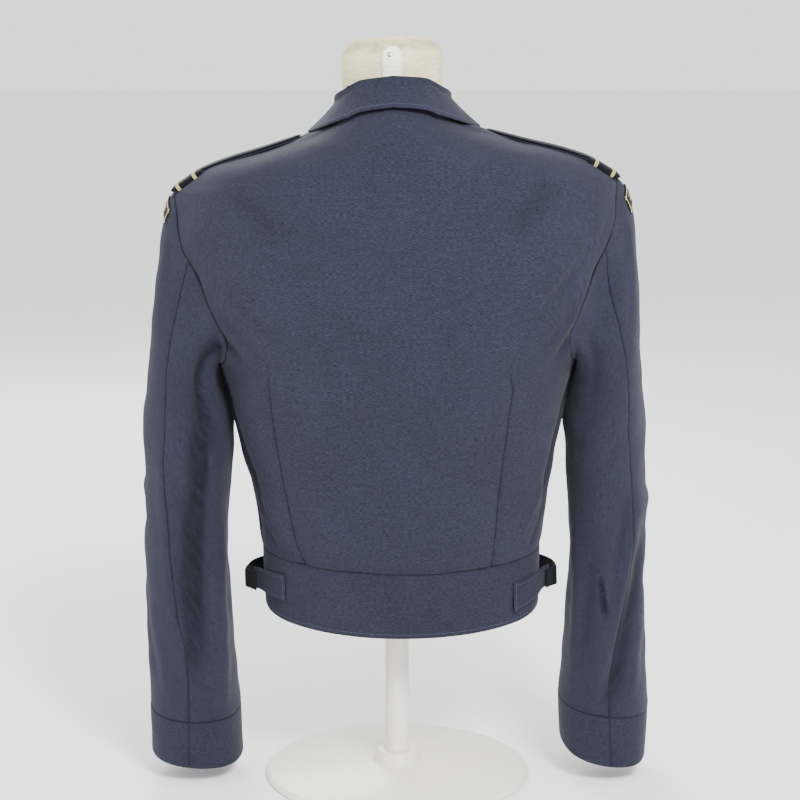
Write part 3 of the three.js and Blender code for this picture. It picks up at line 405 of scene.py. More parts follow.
def alike(u: Array, v: Array) -> tuple[Array, Array]:
    """Both parameters of a skin as arrays of one shape."""
    u, v = np.broadcast_arrays(np.asarray(u, float), np.asarray(v, float))
    return u, v


def spaced(length: float, step: float, fine: Sequence[float] = ()) -> Array:
    """Shares from 0 to 1 along a length, about one step apart and finer near both ends.

    Args:
        length: The length in millimetres.
        step: The usual spacing.
        fine: Distances from each end that get a share of their own.

    Returns:
        Rising shares, the first 0 and the last 1.
    """
    margin = fine[-1] if fine else 0.0
    count = max(2, round((length - 2 * margin) / step))
    middle = np.linspace(margin, length - margin, count + 1)
    near = np.array([0.0, *fine[:-1]]) if fine else np.array([])
    places = np.concatenate([near, middle, (length - near)[::-1]])
    return np.unique(np.round(places / length, 6))


class Curve:
    """A smooth curve through given points, with no bump between them."""

    def __init__(self, at: Sequence[float], values: Sequence[float]) -> None:
        """Keeps the points in rising order and works out the slopes."""
        order = np.argsort(at)
        self.at = np.asarray(at, float)[order]
        self.values = np.asarray(values, float)[order]
        steps = np.diff(self.values) / np.diff(self.at)
        product, total = steps[:-1] * steps[1:], steps[:-1] + steps[1:]
        inner = np.where(product > 0, 2 * product / np.where(total == 0, 1, total), 0)
        self.slopes = np.concatenate([steps[:1], inner, steps[-1:]])

    def __call__(self, x: Array) -> Array:
        """The curve's value at x, held past its ends."""
        x = np.clip(x, self.at[0], self.at[-1])
        i = np.clip(np.searchsorted(self.at, x, side="right") - 1, 0, len(self.at) - 2)
        width = self.at[i + 1] - self.at[i]
        t = (x - self.at[i]) / width
        rest = 1 - t
        return (
            (1 + 2 * t) * rest * rest * self.values[i]
            + t * rest * rest * width * self.slopes[i]
            + t * t * (3 - 2 * t) * self.values[i + 1]
            - t * t * rest * width * self.slopes[i + 1]
        )


def curves(columns: Sequence[str], table: Sequence[Row]) -> dict[str, Curve]:
    """One curve for each column of a table, against its first column."""
    data = np.array(table, float)
    return {name: Curve(data[:, 0], data[:, i]) for i, name in enumerate(columns) if i}


def curve_through(points: dict[float, float]) -> Curve:
    """One curve through values that are listed by place."""
    return Curve(list(points), list(points.values()))


SHIFT, DROP, NECK = (curve_through(points) for points in (SIDE_SHIFT, SHOULDER_DROP, NECKLINE))


def lean(points: Array, rise: Array | float = 0.0) -> Array:
    """Moves points of the upright figure to where they stand on the leaning form.

    Args:
        points: Places in millimetres.
        rise: How far each one is lifted first.

    Returns:
        The moved points.
    """
    moved = points.copy()
    moved[..., 2] += rise
    z = moved[..., 2].copy()
    moved[..., 0] += SHIFT(z)
    moved[..., 2] -= DROP(z) * points[..., 0]
    return moved


def waist_shift(angle: Array, z: Array) -> Array:
    """How far the waist rises at one place: fully below its seam, and less and less above it.

    Args:
        angle: Turn round the figure.
        z: Height in the tables.

    Returns:
        The rise in millimetres.
    """
    folded = np.where(angle > 90, 180 - angle, angle)
    turn = np.where(folded < -90, -180 - folded, folded)
    across = np.where(turn > SIDE_SEAM, smooth(turn, SIDE_SEAM, 90), smooth(-turn, -SIDE_SEAM, 90))
    behind = np.sin(np.radians(angle)) > 0
    hem, waist = (lerp(r[0], np.where(behind, r[1], r[2]), across) for r in (HEM_RISE, WAIST_RISE))
    return lerp(hem, waist, smooth(z, HEM_Z, WAIST_Z)) * (1 - smooth(z, WAIST_Z, RISE_TOP))


def section(side: Array, depth: Array, full: Array, angle: Array) -> tuple[Array, Array]:
    """X and Y of a rounded section, whose corners full fills out."""
    c, s = np.cos(np.radians(angle)), np.sin(np.radians(angle))
    return side * c * (1 + full * s * s), depth * s * (1 + full * c * c)


def fold_rise(folds: Sequence[Fold], angle: Array, z: Array, radius: Array) -> Array:
    """How far the folds lift a skin at each place.

    Args:
        folds: The folds.
        angle: Turn round the skin.
        z: Height in the tables.
        radius: The skin's mean radius there.

    Returns:
        The lift in millimetres.
    """
    total = np.zeros(np.broadcast(angle, z).shape)
    for fold in folds:
        run_x = np.radians(fold.angle1 - fold.angle0) * radius
        run_z = fold.z1 - fold.z0
        turn = np.mod(angle - fold.angle0 + 180, 360) - 180
        here_x, here_z = np.radians(turn) * radius, z - fold.z0
        square = run_x**2 + run_z**2
        along = (here_x * run_x + here_z * run_z) / square
        across = np.abs(here_x * run_z - here_z * run_x) / np.sqrt(square)
        fade = smooth(along, -0.12, 0.25) * (1 - smooth(along, 0.75, 1.12))
        total += fold.rise * fade * bell(across, fold.width)
    return total


def hollows(folds: Sequence[Fold], angle: Array, z: Array, radius: Array) -> Array:
    """A mask of painted shade in the troughs between folds, where less light reaches the cloth."""
    return smooth(-fold_rise(folds, angle, z, radius), *TROUGH_DEPTHS)


def neckline(angle: Array) -> Array:
    """The neckline's height at any turn round the neck."""
    turn = np.where(angle > 90, 180 - angle, angle)
    return NECK(np.where(turn < -90, -180 - turn, turn))


def armhole_angle(turn: Array) -> Array:
    """Where the armhole seam lies round the body, by the turn round the armhole.

    Args:
        turn: Degrees round the armhole from its top.

    Returns:
        Degrees round the body on the left side.
    """
    table = np.array(ARMHOLE_ANGLES, float)
    at = np.mod(turn, 360) / (360 / len(table))
    i = np.floor(at).astype(int)
    t = at - i
    a, b, c, d = (table[(i + k) % len(table)] for k in (-1, 0, 1, 2))
    return b + 0.5 * t * (c - a + t * (2 * a - 5 * b + 4 * c - d + t * (3 * (b - c) + d - a)))


def armhole_z(turn: Array) -> Array:
    """The height of the armhole seam at a turn round the armhole."""
    half = (SHOULDER_Z - ARMPIT_Z) / 2
    return ARMPIT_Z + half + half * np.cos(np.radians(turn))


def lap_lift(angle: Array) -> Array:
    """How far the upper front stands out where it laps over the lower one."""
    return LAP_LIFT * (1 - smooth(np.abs(angle + 90), FRONT_LAP + 4, FRONT_LAP + 15))


class Skin:
    """A surface with two parameters, in millimetres."""

    steps = (0.5, 0.5)
    turn = 1.0

    def point(self, u: Array, v: Array) -> Array:
        """The skin's points at u and v."""
        raise NotImplementedError

    def normal(self, u: Array, v: Array) -> Array:
        """Directions square to the skin, out of the garment."""
        du, dv = self.steps
        along_u = self.point(u + du, v) - self.point(u - du, v)
        along_v = self.point(u, v + dv) - self.point(u, v - dv)
        return unit(np.cross(along_u, along_v)) * self.turn

    def place(self, u: Array, v: Array, height: Array | float) -> Array:
        """Points above the skin, or below it where height is negative."""
        lift = np.asarray(height, float)
        return self.point(u, v) + self.normal(u, v) * lift[..., None]


class SectionSkin(Skin):
    """A figure given by rounded sections, such as the worn body of the blouse or its form."""

    def __init__(self, table: Sequence[Row], folds: Sequence[Fold] = ()) -> None:
        """Keeps the sections and the folds, which only the blouse has."""
        self.table = curves(SECTION_COLUMNS, table)
        self.folds = folds

    def point(self, u: Array, v: Array) -> Array:
        """The point at a turn u round the figure and a height v.

        Args:
            u: Degrees from the left side.
            v: Height in the tables.

        Returns:
            Points in millimetres.
        """
        u, v = alike(u, v)
        side = self.table["side"](v)
        depth = np.where(np.sin(np.radians(u)) > 0, self.table["back"](v), self.table["front"](v))
        x, y = section(side, depth, self.table["full"](v), u)
        reach = 1 + fold_rise(self.folds, u, v, side) / np.maximum(np.hypot(x, y), 1e-6)
        rise = waist_shift(u, v) if self.folds else 0.0
        return lean(np.stack([x * reach, y * reach, v + 0 * x], axis=-1), rise)


BODY = SectionSkin(BODY_SECTIONS, BODY_FOLDS + FINE_BODY_FOLDS)
SEAM_BODY = SectionSkin(BODY_SECTIONS, BODY_FOLDS)
FORM = SectionSkin(FORM_SECTIONS)


class SleeveSkin(Skin):
    """A sleeve from the armhole, where run is 0, past the biceps at 1 to the cuff's end at 2."""

    steps = (1.0, 0.01)
    gap = 0.16

    def __init__(self, side: Side) -> None:
        """Picks the table and the folds of one side."""
        left = side is Side.LEFT
        self.side = float(side.value)
        self.turn = -self.side
        self.table = curves(SLEEVE_COLUMNS, LEFT_SLEEVE if left else RIGHT_SLEEVE)
        self.end_z = LEFT_CUFF_END if left else RIGHT_CUFF_END
        self.folds = LEFT_FOLDS + FINE_LEFT_FOLDS if left else RIGHT_FOLDS + FINE_RIGHT_FOLDS

    def height(self, run: Array) -> Array:
        """The height that a run down the sleeve stands for in the tables."""
        above = lerp(SHOULDER_Z, BICEPS_Z, run)
        return np.where(run < 1, above, lerp(BICEPS_Z, self.end_z, run - 1))

    def lower(self, turn: Array, run: Array) -> Array:
        """Points of the tube below the biceps, for the wearer's left side.

        Args:
            turn: Degrees round the sleeve.
            run: From 1 at the biceps to 2 at the cuff's end.

        Returns:
            Points in millimetres.
        """
        z = lerp(BICEPS_Z, self.end_z, run - 1)
        outer, inner = self.table["outer"](z), self.table["inner"](z)
        half = (outer - inner) / 2
        x, y = section(half, self.table["depth"](z), 0.1, turn)
        rise = fold_rise(self.folds, turn, z, half)
        rise = rise * smooth(z, self.end_z + 33, self.end_z + 83)
        reach = 1 + rise / np.hypot(x, y)
        tilt = self.table["tilt"](z) * np.cos(np.radians(turn))
        tilt = tilt + self.table["pitch"](z) * np.sin(np.radians(turn))
        middle = (outer + inner) / 2
        return np.stack([middle + x * reach, self.table["middle"](z) + y * reach, z + tilt], -1)

    def mirrored(self, points: Array) -> Array:
        """Takes points of the left side to this sleeve's side."""
        return points * np.array([self.side, 1.0, 1.0])

    def body_angle(self, turn: Array) -> Array:
        """The armhole's place round the body on this side."""
        angle = armhole_angle(turn)
        return angle if self.side > 0 else 180 - angle

    def point(self, u: Array, v: Array) -> Array:
        """The point at a turn u round the sleeve and a run v down it.

        Args:
            u: Degrees round the sleeve.
            v: From 0 at the armhole to 2.

        Returns:
            Points in millimetres.
        """
        u, v = alike(u, v)
        tube = self.mirrored(self.lower(u, np.maximum(v, 1.0)))
        rim = SEAM_BODY.point(self.body_angle(u), armhole_z(u))
        ahead = SEAM_BODY.point(self.body_angle(u + 1), armhole_z(u + 1))
        behind = SEAM_BODY.point(self.body_angle(u - 1), armhole_z(u - 1))
        normal = SEAM_BODY.normal(self.body_angle(u), armhole_z(u))
        cosine = np.cos(np.radians(u))
        away = unit(np.cross(unit(ahead - behind), normal))
        outward = away[..., 0] * self.side - away[..., 2] * cosine * 0.4
        away = away * np.where(outward > 0, 1.0, -1.0)[..., None]
        away[..., 2] = np.where(cosine < -0.9, np.abs(away[..., 2]), away[..., 2])
        away = unit(away)
        start = rim + away * self.gap
        end = self.mirrored(self.lower(u, np.full(u.shape, 1.0)))
        upward = unit(end - self.mirrored(self.lower(u, np.full(u.shape, 1.02))))
        length = np.linalg.norm(end - start, axis=-1, keepdims=True)
        head = (0.5 + 0.5 * cosine)[..., None]
        leave = unit(away + normal * 0.55 * head)
        pull0 = start + leave * (4 + (0.1 if self.side > 0 else 0.16) * length)
        pull1 = end + upward * (4 + 0.45 * length)
        t = np.clip(v, 0, 1)[..., None]
        rest = 1 - t
        cap = rest**3 * start + 3 * rest**2 * t * pull0 + 3 * rest * t**2 * pull1 + t**3 * end
        return np.where((v >= 1)[..., None], tube, cap)

    def normal(self, u: Array, v: Array) -> Array:
        """Directions out of the sleeve, square to the body's cloth at the armhole."""
        u, v = alike(u, v)
        share = smooth(v, 0, 0.05)[..., None]
        rim = SEAM_BODY.normal(self.body_angle(u), armhole_z(u))
        return unit(rim * (1 - share) + super().normal(u, v) * share)


class CollarSkin(Skin):
    """The collar: up from the neckline, over its fold, and down to an edge that rests on the body."""

    steps = (1.0, 0.01)
    turn = -1.0
    fold_run = 0.4
    fold_radius = 6.0
    clearance = 2.4
    gap = 1.1
    throat_gap = 3.0

    def __init__(self) -> None:
        """Makes the curves of the collar's table."""
        self.table = curves(COLLAR_COLUMNS, COLLAR_TABLE)

    def point(self, u: Array, v: Array) -> Array:
        """The point at a turn u round the neck and a run v, which is fold_run at the fold.

        Args:
            u: Degrees round the neck.
            v: From 0 at the neckline to 1 at the edge.

        Returns:
            Points in millimetres.
        """
        u, v = alike(u, v)
        turn = np.where(u > 90, 180 - u, u)
        row = {name: curve(turn) for name, curve in self.table.items()}
        z = neckline(u)
        normal = SEAM_BODY.normal(u, z)
        onward = unit(SEAM_BODY.point(u, z + 1) - SEAM_BODY.point(u, z - 1))
        gap = self.gap + self.throat_gap * (1 - smooth(turn, -86, -72))
        seam = SEAM_BODY.point(u, z) + onward * gap[..., None] - normal * COLLAR_WALL
        out = unit(normal * np.array([1.0, 1.0, 0.0]))
        fold = seam - out * row["inward"][..., None]
        fold[..., 2] = seam[..., 2] + row["rise"]
        rise = unit(onward * 0.5 + np.array([0, 0, 0.5]))
        stand = (seam, seam + rise * 0.45 * row["rise"][..., None], fold - out * self.fold_radius, fold)
        edge_angle = np.where(u > 90, 180 - row["edge_angle"], row["edge_angle"])
        edge = SEAM_BODY.place(edge_angle, row["edge_z"], row["lift"])
        fall = (fold, fold + out * self.fold_radius, edge - (edge - fold) * 0.45, edge)
        up = bezier(stand, np.clip(v / self.fold_run, 0, 1))
        down = bezier(fall, np.clip((v - self.fold_run) / (1 - self.fold_run), 0, 1))
        down = self.clear_of_body(down, edge_angle, row["edge_z"])
        return np.where((v <= self.fold_run)[..., None], up, down)

    def clear_of_body(self, points: Array, angle: Array, z: Array) -> Array:
        """Moves points out until they clear the body by the collar's wall and a little more.

        Args:
            points: Places of the collar's fall.
            angle: Turn round the body near each.
            z: Height near each.

        Returns:
            The moved points.
        """
        u, v = angle.astype(float).copy(), z.astype(float).copy()
        for _ in range(12):
            away = points - SEAM_BODY.point(u, v)
            along_u = SEAM_BODY.point(u + 0.5, v) - SEAM_BODY.point(u - 0.5, v)
            along_v = SEAM_BODY.point(u, v + 0.5) - SEAM_BODY.point(u, v - 0.5)
            uu, uv, vv = dot(along_u, along_u), dot(along_u, along_v), dot(along_v, along_v)
            du, dv = dot(away, along_u), dot(away, along_v)
            scale = 0.8 / (uu * vv - uv * uv)
            u += np.clip((du * vv - dv * uv) * scale, -8, 8)
            v += np.clip((dv * uu - du * uv) * scale, -8, 8)
        normal = SEAM_BODY.normal(u, v)
        height = dot(points - SEAM_BODY.point(u, v), normal)
        lap = lap_lift(np.where(u < -90, -180 - u, u))
        short = np.maximum(COLLAR_WALL + self.clearance + lap - height, 0)
        return points + normal * short[..., None]


def dot(a: Array, b: Array) -> Array:
    """Scalar products of two arrays of vectors."""
    return (a * b).sum(-1)


def bezier(points: tuple[Array, Array, Array, Array], t: Array) -> Array:
    """Points of cubic curves at t."""
    t = t[..., None]
    rest = 1 - t
    a, b, c, d = points
    return rest**3 * a + 3 * rest**2 * t * b + 3 * rest * t**2 * c + t**3 * d


def lengths(points: Array, axis: int) -> Array:
    """Distance gone along one axis of a grid of points."""
    step = np.linalg.norm(np.diff(points, axis=axis), axis=-1)
    start = np.zeros_like(step.take([0], axis=axis))
    return np.concatenate([start, np.cumsum(step, axis=axis)], axis=axis)


@dataclass
class Cloth:
    """One cut piece as a thin shell on a skin, with its borders and its relief.

    Attributes:
        name: The piece's name.
        skin: The surface that it lies on.
        u: First parameter of each grid point, rows by columns.
        v: Second parameter of each grid point.
        wall: Thickness in millimetres.
        lift: Height of its face over the skin.
        edges: What the first row, last row, first column and last column are.
        relief: Height added to the face and the back of the cloth.
        creases: Mask of painted shade in fold troughs and sewn lines, which darkens the cloth and sinks
            it a little.
        tube: Whether the last column meets the first.
        seam_depth: How far the face dips at a sewn border.
        seam_width: How wide that dip is.
    """

    name: str
    skin: Skin
    u: Array
    v: Array
    wall: float = CLOTH_WALL
    lift: Array | float = 0.0
    edges: tuple[Edge, Edge, Edge, Edge] = (Edge.SEAM,) * 4
    relief: Array | float = 0.0
    creases: Array | float = 0.0
    tube: bool = False
    seam_depth: float = 0.8
    seam_width: float = 1.4

    def borders(self, points: Array) -> list[Array]:
        """Distance of every grid point from each of the four borders."""
        down, along = lengths(points, 0), lengths(points, 1)
        return [down, down[-1:] - down, along, along[:, -1:] - along]

    def build(self) -> Object:
        """Makes the shell's mesh, with a UV map in metres and a mask of painted shade in its sewn lines
        and fold troughs.
        """
        points, normals = self.skin.point(self.u, self.v), self.skin.normal(self.u, self.v)
        face = over(self.lift, self.u.shape).astype(float)
        back = face - self.wall
        face, back = face + self.relief, back + self.relief
        crease = over(self.creases, self.u.shape).astype(float)
        # The mask of painted shade sinks the face a little; sewn borders dip and get painted shade along
        # their grooves.
        face = face - 0.7 * crease
        for distance, edge in zip(self.borders(points), self.edges):
            if edge is Edge.SEAM:
                face = face - self.seam_depth * bell(distance, self.seam_width)
                crease = np.maximum(crease, bell(distance, self.seam_width * 0.62))
            elif edge is Edge.FREE:
                turn_in = 0.32 * self.wall * bell(distance, 0.5 * self.wall)
                face, back = face - turn_in, back + turn_in
        outer = points + normals * face[..., None]
        inner = points + normals * back[..., None]
        down, along = lengths(points, 0), lengths(points, 1)
        uv = np.stack([along - along[:, -1:] / 2, down], axis=-1) * MM
        return shell(self.name, outer, inner, uv, crease, self.tube)


def shell(
    name: str, outer: Array, inner: Array, uv: Array, crease: Array, tube: bool
) -> Object:
    """A closed wall between two grids of points.

    Args:
        name: The object's name.
        outer: Face of the cloth, rows by columns by three, in millimetres.
        inner: Back of the cloth, the same size.
        uv: Places on the cloth in metres, rows by columns by two.
        crease: Mask of painted shade in the sewn lines and fold troughs, rows by columns.
        tube: Whether the last column lies on the first one and is merged with it.

    Returns:
        The new object, in metres, with its faces turned out.
    """
    rows, columns = outer.shape[:2]
    index = np.arange(rows * columns).reshape(rows, columns)
    a, b = index[:-1, :-1].ravel(), index[:-1, 1:].ravel()
    c, d = index[1:, 1:].ravel(), index[1:, :-1].ravel()
    behind = rows * columns
    quads = [np.stack([a, b, c, d], 1), np.stack([d, c, b, a], 1) + behind]
    quads += [rim(index[0, ::-1], behind), rim(index[-1], behind)]
    if not tube:
        quads += [rim(index[:, 0], behind), rim(index[::-1, -1], behind)]
    faces = np.concatenate(quads)
    points = np.concatenate([outer.reshape(-1, 3), inner.reshape(-1, 3)]) * MM
    if signed_volume(points, faces) < 0:
        faces = faces[:, ::-1]
    places = np.concatenate([uv.reshape(-1, 2)] * 2)
    masks = np.concatenate([crease.ravel(), np.zeros(crease.size)])
    return new_mesh(name, points, faces.tolist(), places, masks, merge=tube)


def rim(line: Array, behind: int) -> Array:
    """Faces that join a border of a shell's face to its back."""
    first, second = line[:-1], line[1:]
    return np.stack([first, second, second + behind, first + behind], 1)


def signed_volume(points: Array, faces: Array) -> float:
    """Volume inside a mesh of quads, negative where its faces point inwards."""
    middle = points.mean(0)
    a, b, c, d = (points[faces[:, i]] - middle for i in range(4))
    return float((dot(a, np.cross(b, c)) + dot(a, np.cross(c, d))).sum() / 6)


def new_mesh(
    name: str,
    points: Array,
    faces: list[list[int]],
    uv: Array | None = None,
    mask: Array | None = None,
    merge: bool = False,
) -> Object:
    """Links a new mesh object.

    Args:
        name: The object's name.
        points: Its corners in metres.
        faces: Its faces as rows of corner numbers.
        uv: A place on the cloth for each corner, in metres.
        mask: The mask of painted shade in sewn lines and fold troughs, and of stains on the form, at
            each corner.
        merge: Whether corners at one place become one.

    Returns:
        The object, smooth shaded, at the origin.
    """
    mesh = bpy.data.meshes.new(name)
    mesh.from_pydata(points.tolist(), [], faces)
    if uv is not None:
        corner = np.empty(len(mesh.loops), np.int32)
        mesh.loops.foreach_get("vertex_index", corner)
        layer = mesh.uv_layers.new(name="cloth")
        layer.data.foreach_set("uv", uv[corner].astype(np.float32).ravel())
    # The mask of painted shade, and of stains on the form, is kept on the points for the cloth material.
    if mask is not None:
        crease = mesh.attributes.new("crease", "FLOAT", "POINT")
        crease.data.foreach_set("value", mask.astype(np.float32))
    if merge:
        work = bmesh.new()
        work.from_mesh(mesh)
        bmesh.ops.remove_doubles(work, verts=work.verts, dist=2e-6)
        work.to_mesh(mesh)
        work.free()
    mesh.polygons.foreach_set("use_smooth", np.ones(len(mesh.polygons), bool))
    mesh.update()
    return link(name, mesh)


def link(name: str, data: bpy.types.ID) -> Object:
    """Puts a new object with this data into the scene."""
    obj = bpy.data.objects.new(name, data)
    bpy.context.scene.collection.objects.link(obj)
    return obj


@dataclass(frozen=True)
class Thread:
    """Sewing thread: the length, width and height of a stitch and the space from one to the next."""

    length: float = 2.3
    width: float = 0.55
    height: float = 0.34
    pitch: float = 2.9

    def row(self, line: Array, normals: Array) -> tuple[Array, Array]:
        """Stitches along a line.

        Args:
            line: Points of the sewn line on the cloth's face, in millimetres.
            normals: The cloth's direction out at each point.

        Returns:
            Corners in millimetres and faces of all stitches.
        """
        gone = np.concatenate([[0], np.cumsum(np.linalg.norm(np.diff(line, axis=0), axis=1))])
        count = max(1, int(gone[-1] // self.pitch))
        middles = (np.arange(count) + 0.5) * gone[-1] / count

        def read(values: Array, places: Array) -> Array:
            """The values at distances along the line."""
            return np.stack([np.interp(places, gone, values[:, i]) for i in range(3)], 1)

        centre, up = read(line, middles), unit(read(normals, middles))
        along = unit(read(line, middles + 0.6) - read(line, middles - 0.6))
        across = np.cross(up, along)
        rings = ((-0.5, 0.25), (-0.28, 1.0), (0.28, 1.0), (0.5, 0.25))
        corners = []
        for share, grow in rings:
            for turn in np.radians(np.arange(6) * 60):
                side = 0.5 * self.width * grow * math.cos(turn)
                rise = self.height * grow * math.sin(turn) - 0.1
                corners.append(centre + along * self.length * share + across * side + up * rise)
        points = np.stack(corners, 1)
        faces = []
        for ring in range(len(rings) - 1):
            for k in range(6):
                a, b = ring * 6 + k, ring * 6 + (k + 1) % 6
                faces.append((a, b, b + 6, a + 6))
        last = (len(rings) - 1) * 6
        faces += [(3, 2, 1, 0), (5, 4, 3, 0)]
        faces += [(last, last + 1, last + 2, last + 3), (last, last + 3, last + 4, last + 5)]
        offsets = np.arange(count)[:, None, None] * points.shape[1]
        return points.reshape(-1, 3), (np.array(faces)[None] + offsets).reshape(-1, 4)

    def sew(self, name: str, rows: Sequence[tuple[Array, Array]]) -> Object:
        """Joins rows of stitches into one piece."""
        points, faces, start = [], [], 0
        for line, normals in rows:
            corners, quads = self.row(line, normals)
            points.append(corners)
            faces.append(quads + start)
            start += len(corners)
        return new_mesh(name, np.concatenate(points) * MM, np.concatenate(faces).tolist())


@dataclass(frozen=True)
class ClothFinish:
    """A woven cloth: its yarns' two colours, the colour of its painted shade and stains, and the sizes
    of its weave.

    Attributes:
        name: The material's name.
        slot: Its material slot.
        dark: Linear colour of the darker yarn.
        light: Linear colour of the lighter yarn.
        deep: Linear colour of the painted shade in its sewn lines and fold troughs, and of stains.
        seam: How far the painted shade and stains go towards that colour, from 0 to 1.
        threads: Twill lines in a metre.
        heather: Flecks in a metre.
        blotch: Soft patches in a metre.
        patchy: How much the patches change the colour.
        roughness: Of the cloth.
        sheen: Weight of its fuzz.
        bump: Depth of its weave in metres.
    """

    name: str
    slot: str
    dark: Triple
    light: Triple
    deep: Triple
    seam: float = 0.7
    threads: float = 1500.0
    heather: float = 1350.0
    blotch: float = 13.0
    patchy: float = 0.2
    roughness: float = 0.92
    sheen: float = 0.05
    bump: float = 0.0002

    def build(self) -> bpy.types.Material:
        """Makes the material from the shared group of woven cloth."""
        material, shader = blank_material(self.name)
        nodes, links = material.node_tree.nodes, material.node_tree.links
        weave = nodes.new("ShaderNodeGroup")
        weave.node_tree = woven_group()
        values = {
            "Dark": (*self.dark, 1),
            "Light": (*self.light, 1),
            "Deep": (*self.deep, 1),
            "Seam": self.seam,
            "Threads": self.threads,
            "Heather": self.heather,
            "Blotch": self.blotch,
            "Patchy": self.patchy,
        }
        for name, value in values.items():
            weave.inputs[name].default_value = value
        links.new(weave.outputs["Color"], shader.inputs["Base Color"])
        bump = nodes.new("ShaderNodeBump")
        bump.inputs["Strength"].default_value = 0.6
        bump.inputs["Distance"].default_value = self.bump
        links.new(weave.outputs["Height"], bump.inputs["Height"])
        links.new(bump.outputs["Normal"], shader.inputs["Normal"])
        shader.inputs["Roughness"].default_value = self.roughness
        shader.inputs["Sheen Weight"].default_value = self.sheen
        shader.inputs["Sheen Roughness"].default_value = 0.5
        shader.inputs["Specular IOR Level"].default_value = 0.15
        return material


@dataclass(frozen=True)
class HardFinish:
    """Paint, enamel, horn or metal, with faint marks of use.

    Attributes:
        name: The material's name.
        slot: Its material slot.
        color: Linear colour.
        worn: Linear colour where it is rubbed.
        rubbed: Share of it that is rubbed.
        roughness: Of its clean face.
        metallic: Whether it is metal.
        coat: Weight of a clear coat.
    """

    name: str
    slot: str
    color: Triple
    worn: Triple
    rubbed: float = 0.3
    roughness: float = 0.4
    metallic: float = 0.0
    coat: float = 0.0

    def build(self) -> bpy.types.Material:
        """Makes the material from the shared group of worn faces."""
        material, shader = blank_material(self.name)
        nodes, links = material.node_tree.nodes, material.node_tree.links
        worn = nodes.new("ShaderNodeGroup")
        worn.node_tree = worn_group()
        worn.inputs["Clean"].default_value = (*self.color, 1)
        worn.inputs["Worn"].default_value = (*self.worn, 1)
        worn.inputs["Rubbed"].default_value = self.rubbed
        worn.inputs["Roughness"].default_value = self.roughness
        links.new(worn.outputs["Color"], shader.inputs["Base Color"])
        links.new(worn.outputs["Roughness"], shader.inputs["Roughness"])
        shader.inputs["Metallic"].default_value = self.metallic
        shader.inputs["Coat Weight"].default_value = self.coat
        return material


def blank_material(name: str) -> tuple[bpy.types.Material, bpy.types.Node]:
    """A material with its main shader and output joined.

    Args:
        name: The material's name.

    Returns:
        The material and its main shader.
    """
    material = bpy.data.materials.new(name)
    material.use_nodes = True
    nodes = material.node_tree.nodes
    nodes.clear()
    shader = nodes.new("ShaderNodeBsdfPrincipled")
    output = nodes.new("ShaderNodeOutputMaterial")
    material.node_tree.links.new(shader.outputs["BSDF"], output.inputs["Surface"])
    return material, shader


class GroupMaker:
    """Lays out a shader node group, whose nodes are named by what they do."""

    def __init__(
        self, name: str, inputs: Sequence[tuple[str, str]], outputs: Sequence[tuple[str, str]]
    ) -> None:
        """Makes an empty group with typed sockets."""
        self.tree = bpy.data.node_groups.new(name, "ShaderNodeTree")
        for socket, kind in inputs:
            self.tree.interface.new_socket(socket, in_out="INPUT", socket_type=kind)
        for socket, kind in outputs:
            self.tree.interface.new_socket(socket, in_out="OUTPUT", socket_type=kind)
        self.source = self.tree.nodes.new("NodeGroupInput").outputs
        self.target = self.tree.nodes.new("NodeGroupOutput").inputs

    def node(self, kind: str, inputs: dict[str | int, object], **options: object) -> bpy.types.Node:
        """Adds a node, sets its options, and sets or links its inputs.

        Args:
            kind: The node's type.
            inputs: Values or sockets by input.
            options: Settings of the node.

        Returns:
            The node.
        """
        made = self.tree.nodes.new(kind)
        for name, value in options.items():
            setattr(made, name, value)
        for socket, value in inputs.items():
            if isinstance(value, Socket):
                self.tree.links.new(value, made.inputs[socket])
            else:
                made.inputs[socket].default_value = value
        return made

    def math(self, operation: str, first: object, second: object) -> Socket:
        """The result of a sum on two values or sockets."""
        return self.node("ShaderNodeMath", {0: first, 1: second}, operation=operation).outputs[0]

    def spread(self, value: object, low: float, high: float) -> Socket:
        """Takes the range from low to high to 0 to 1."""
        inputs = {"Value": value, "From Min": low, "From Max": high}
        return self.node("ShaderNodeMapRange", inputs).outputs["Result"]

    def mix(self, share: object, first: object, second: object, blend: str = "MIX") -> Socket:
        """Mixes two colours."""
        inputs = {0: share, 6: first, 7: second}
        made = self.node("ShaderNodeMix", inputs, data_type="RGBA", blend_type=blend)
        return made.outputs[2]

    def noise(self, place: Socket, scale: object, detail: float) -> Socket:
        """The value of a noise texture."""
        inputs = {"Vector": place, "Scale": scale, "Detail": detail}
        return self.node("ShaderNodeTexNoise", inputs).outputs[0]

    def grey(self, level: Socket) -> Socket:
        """A grey of one level."""
        return self.node("ShaderNodeCombineColor", {0: level, 1: level, 2: level}).outputs[0]

    def end(self, socket: str, value: Socket) -> None:
        """Links a result to one of the group's outputs."""
        self.tree.links.new(value, self.target[socket])


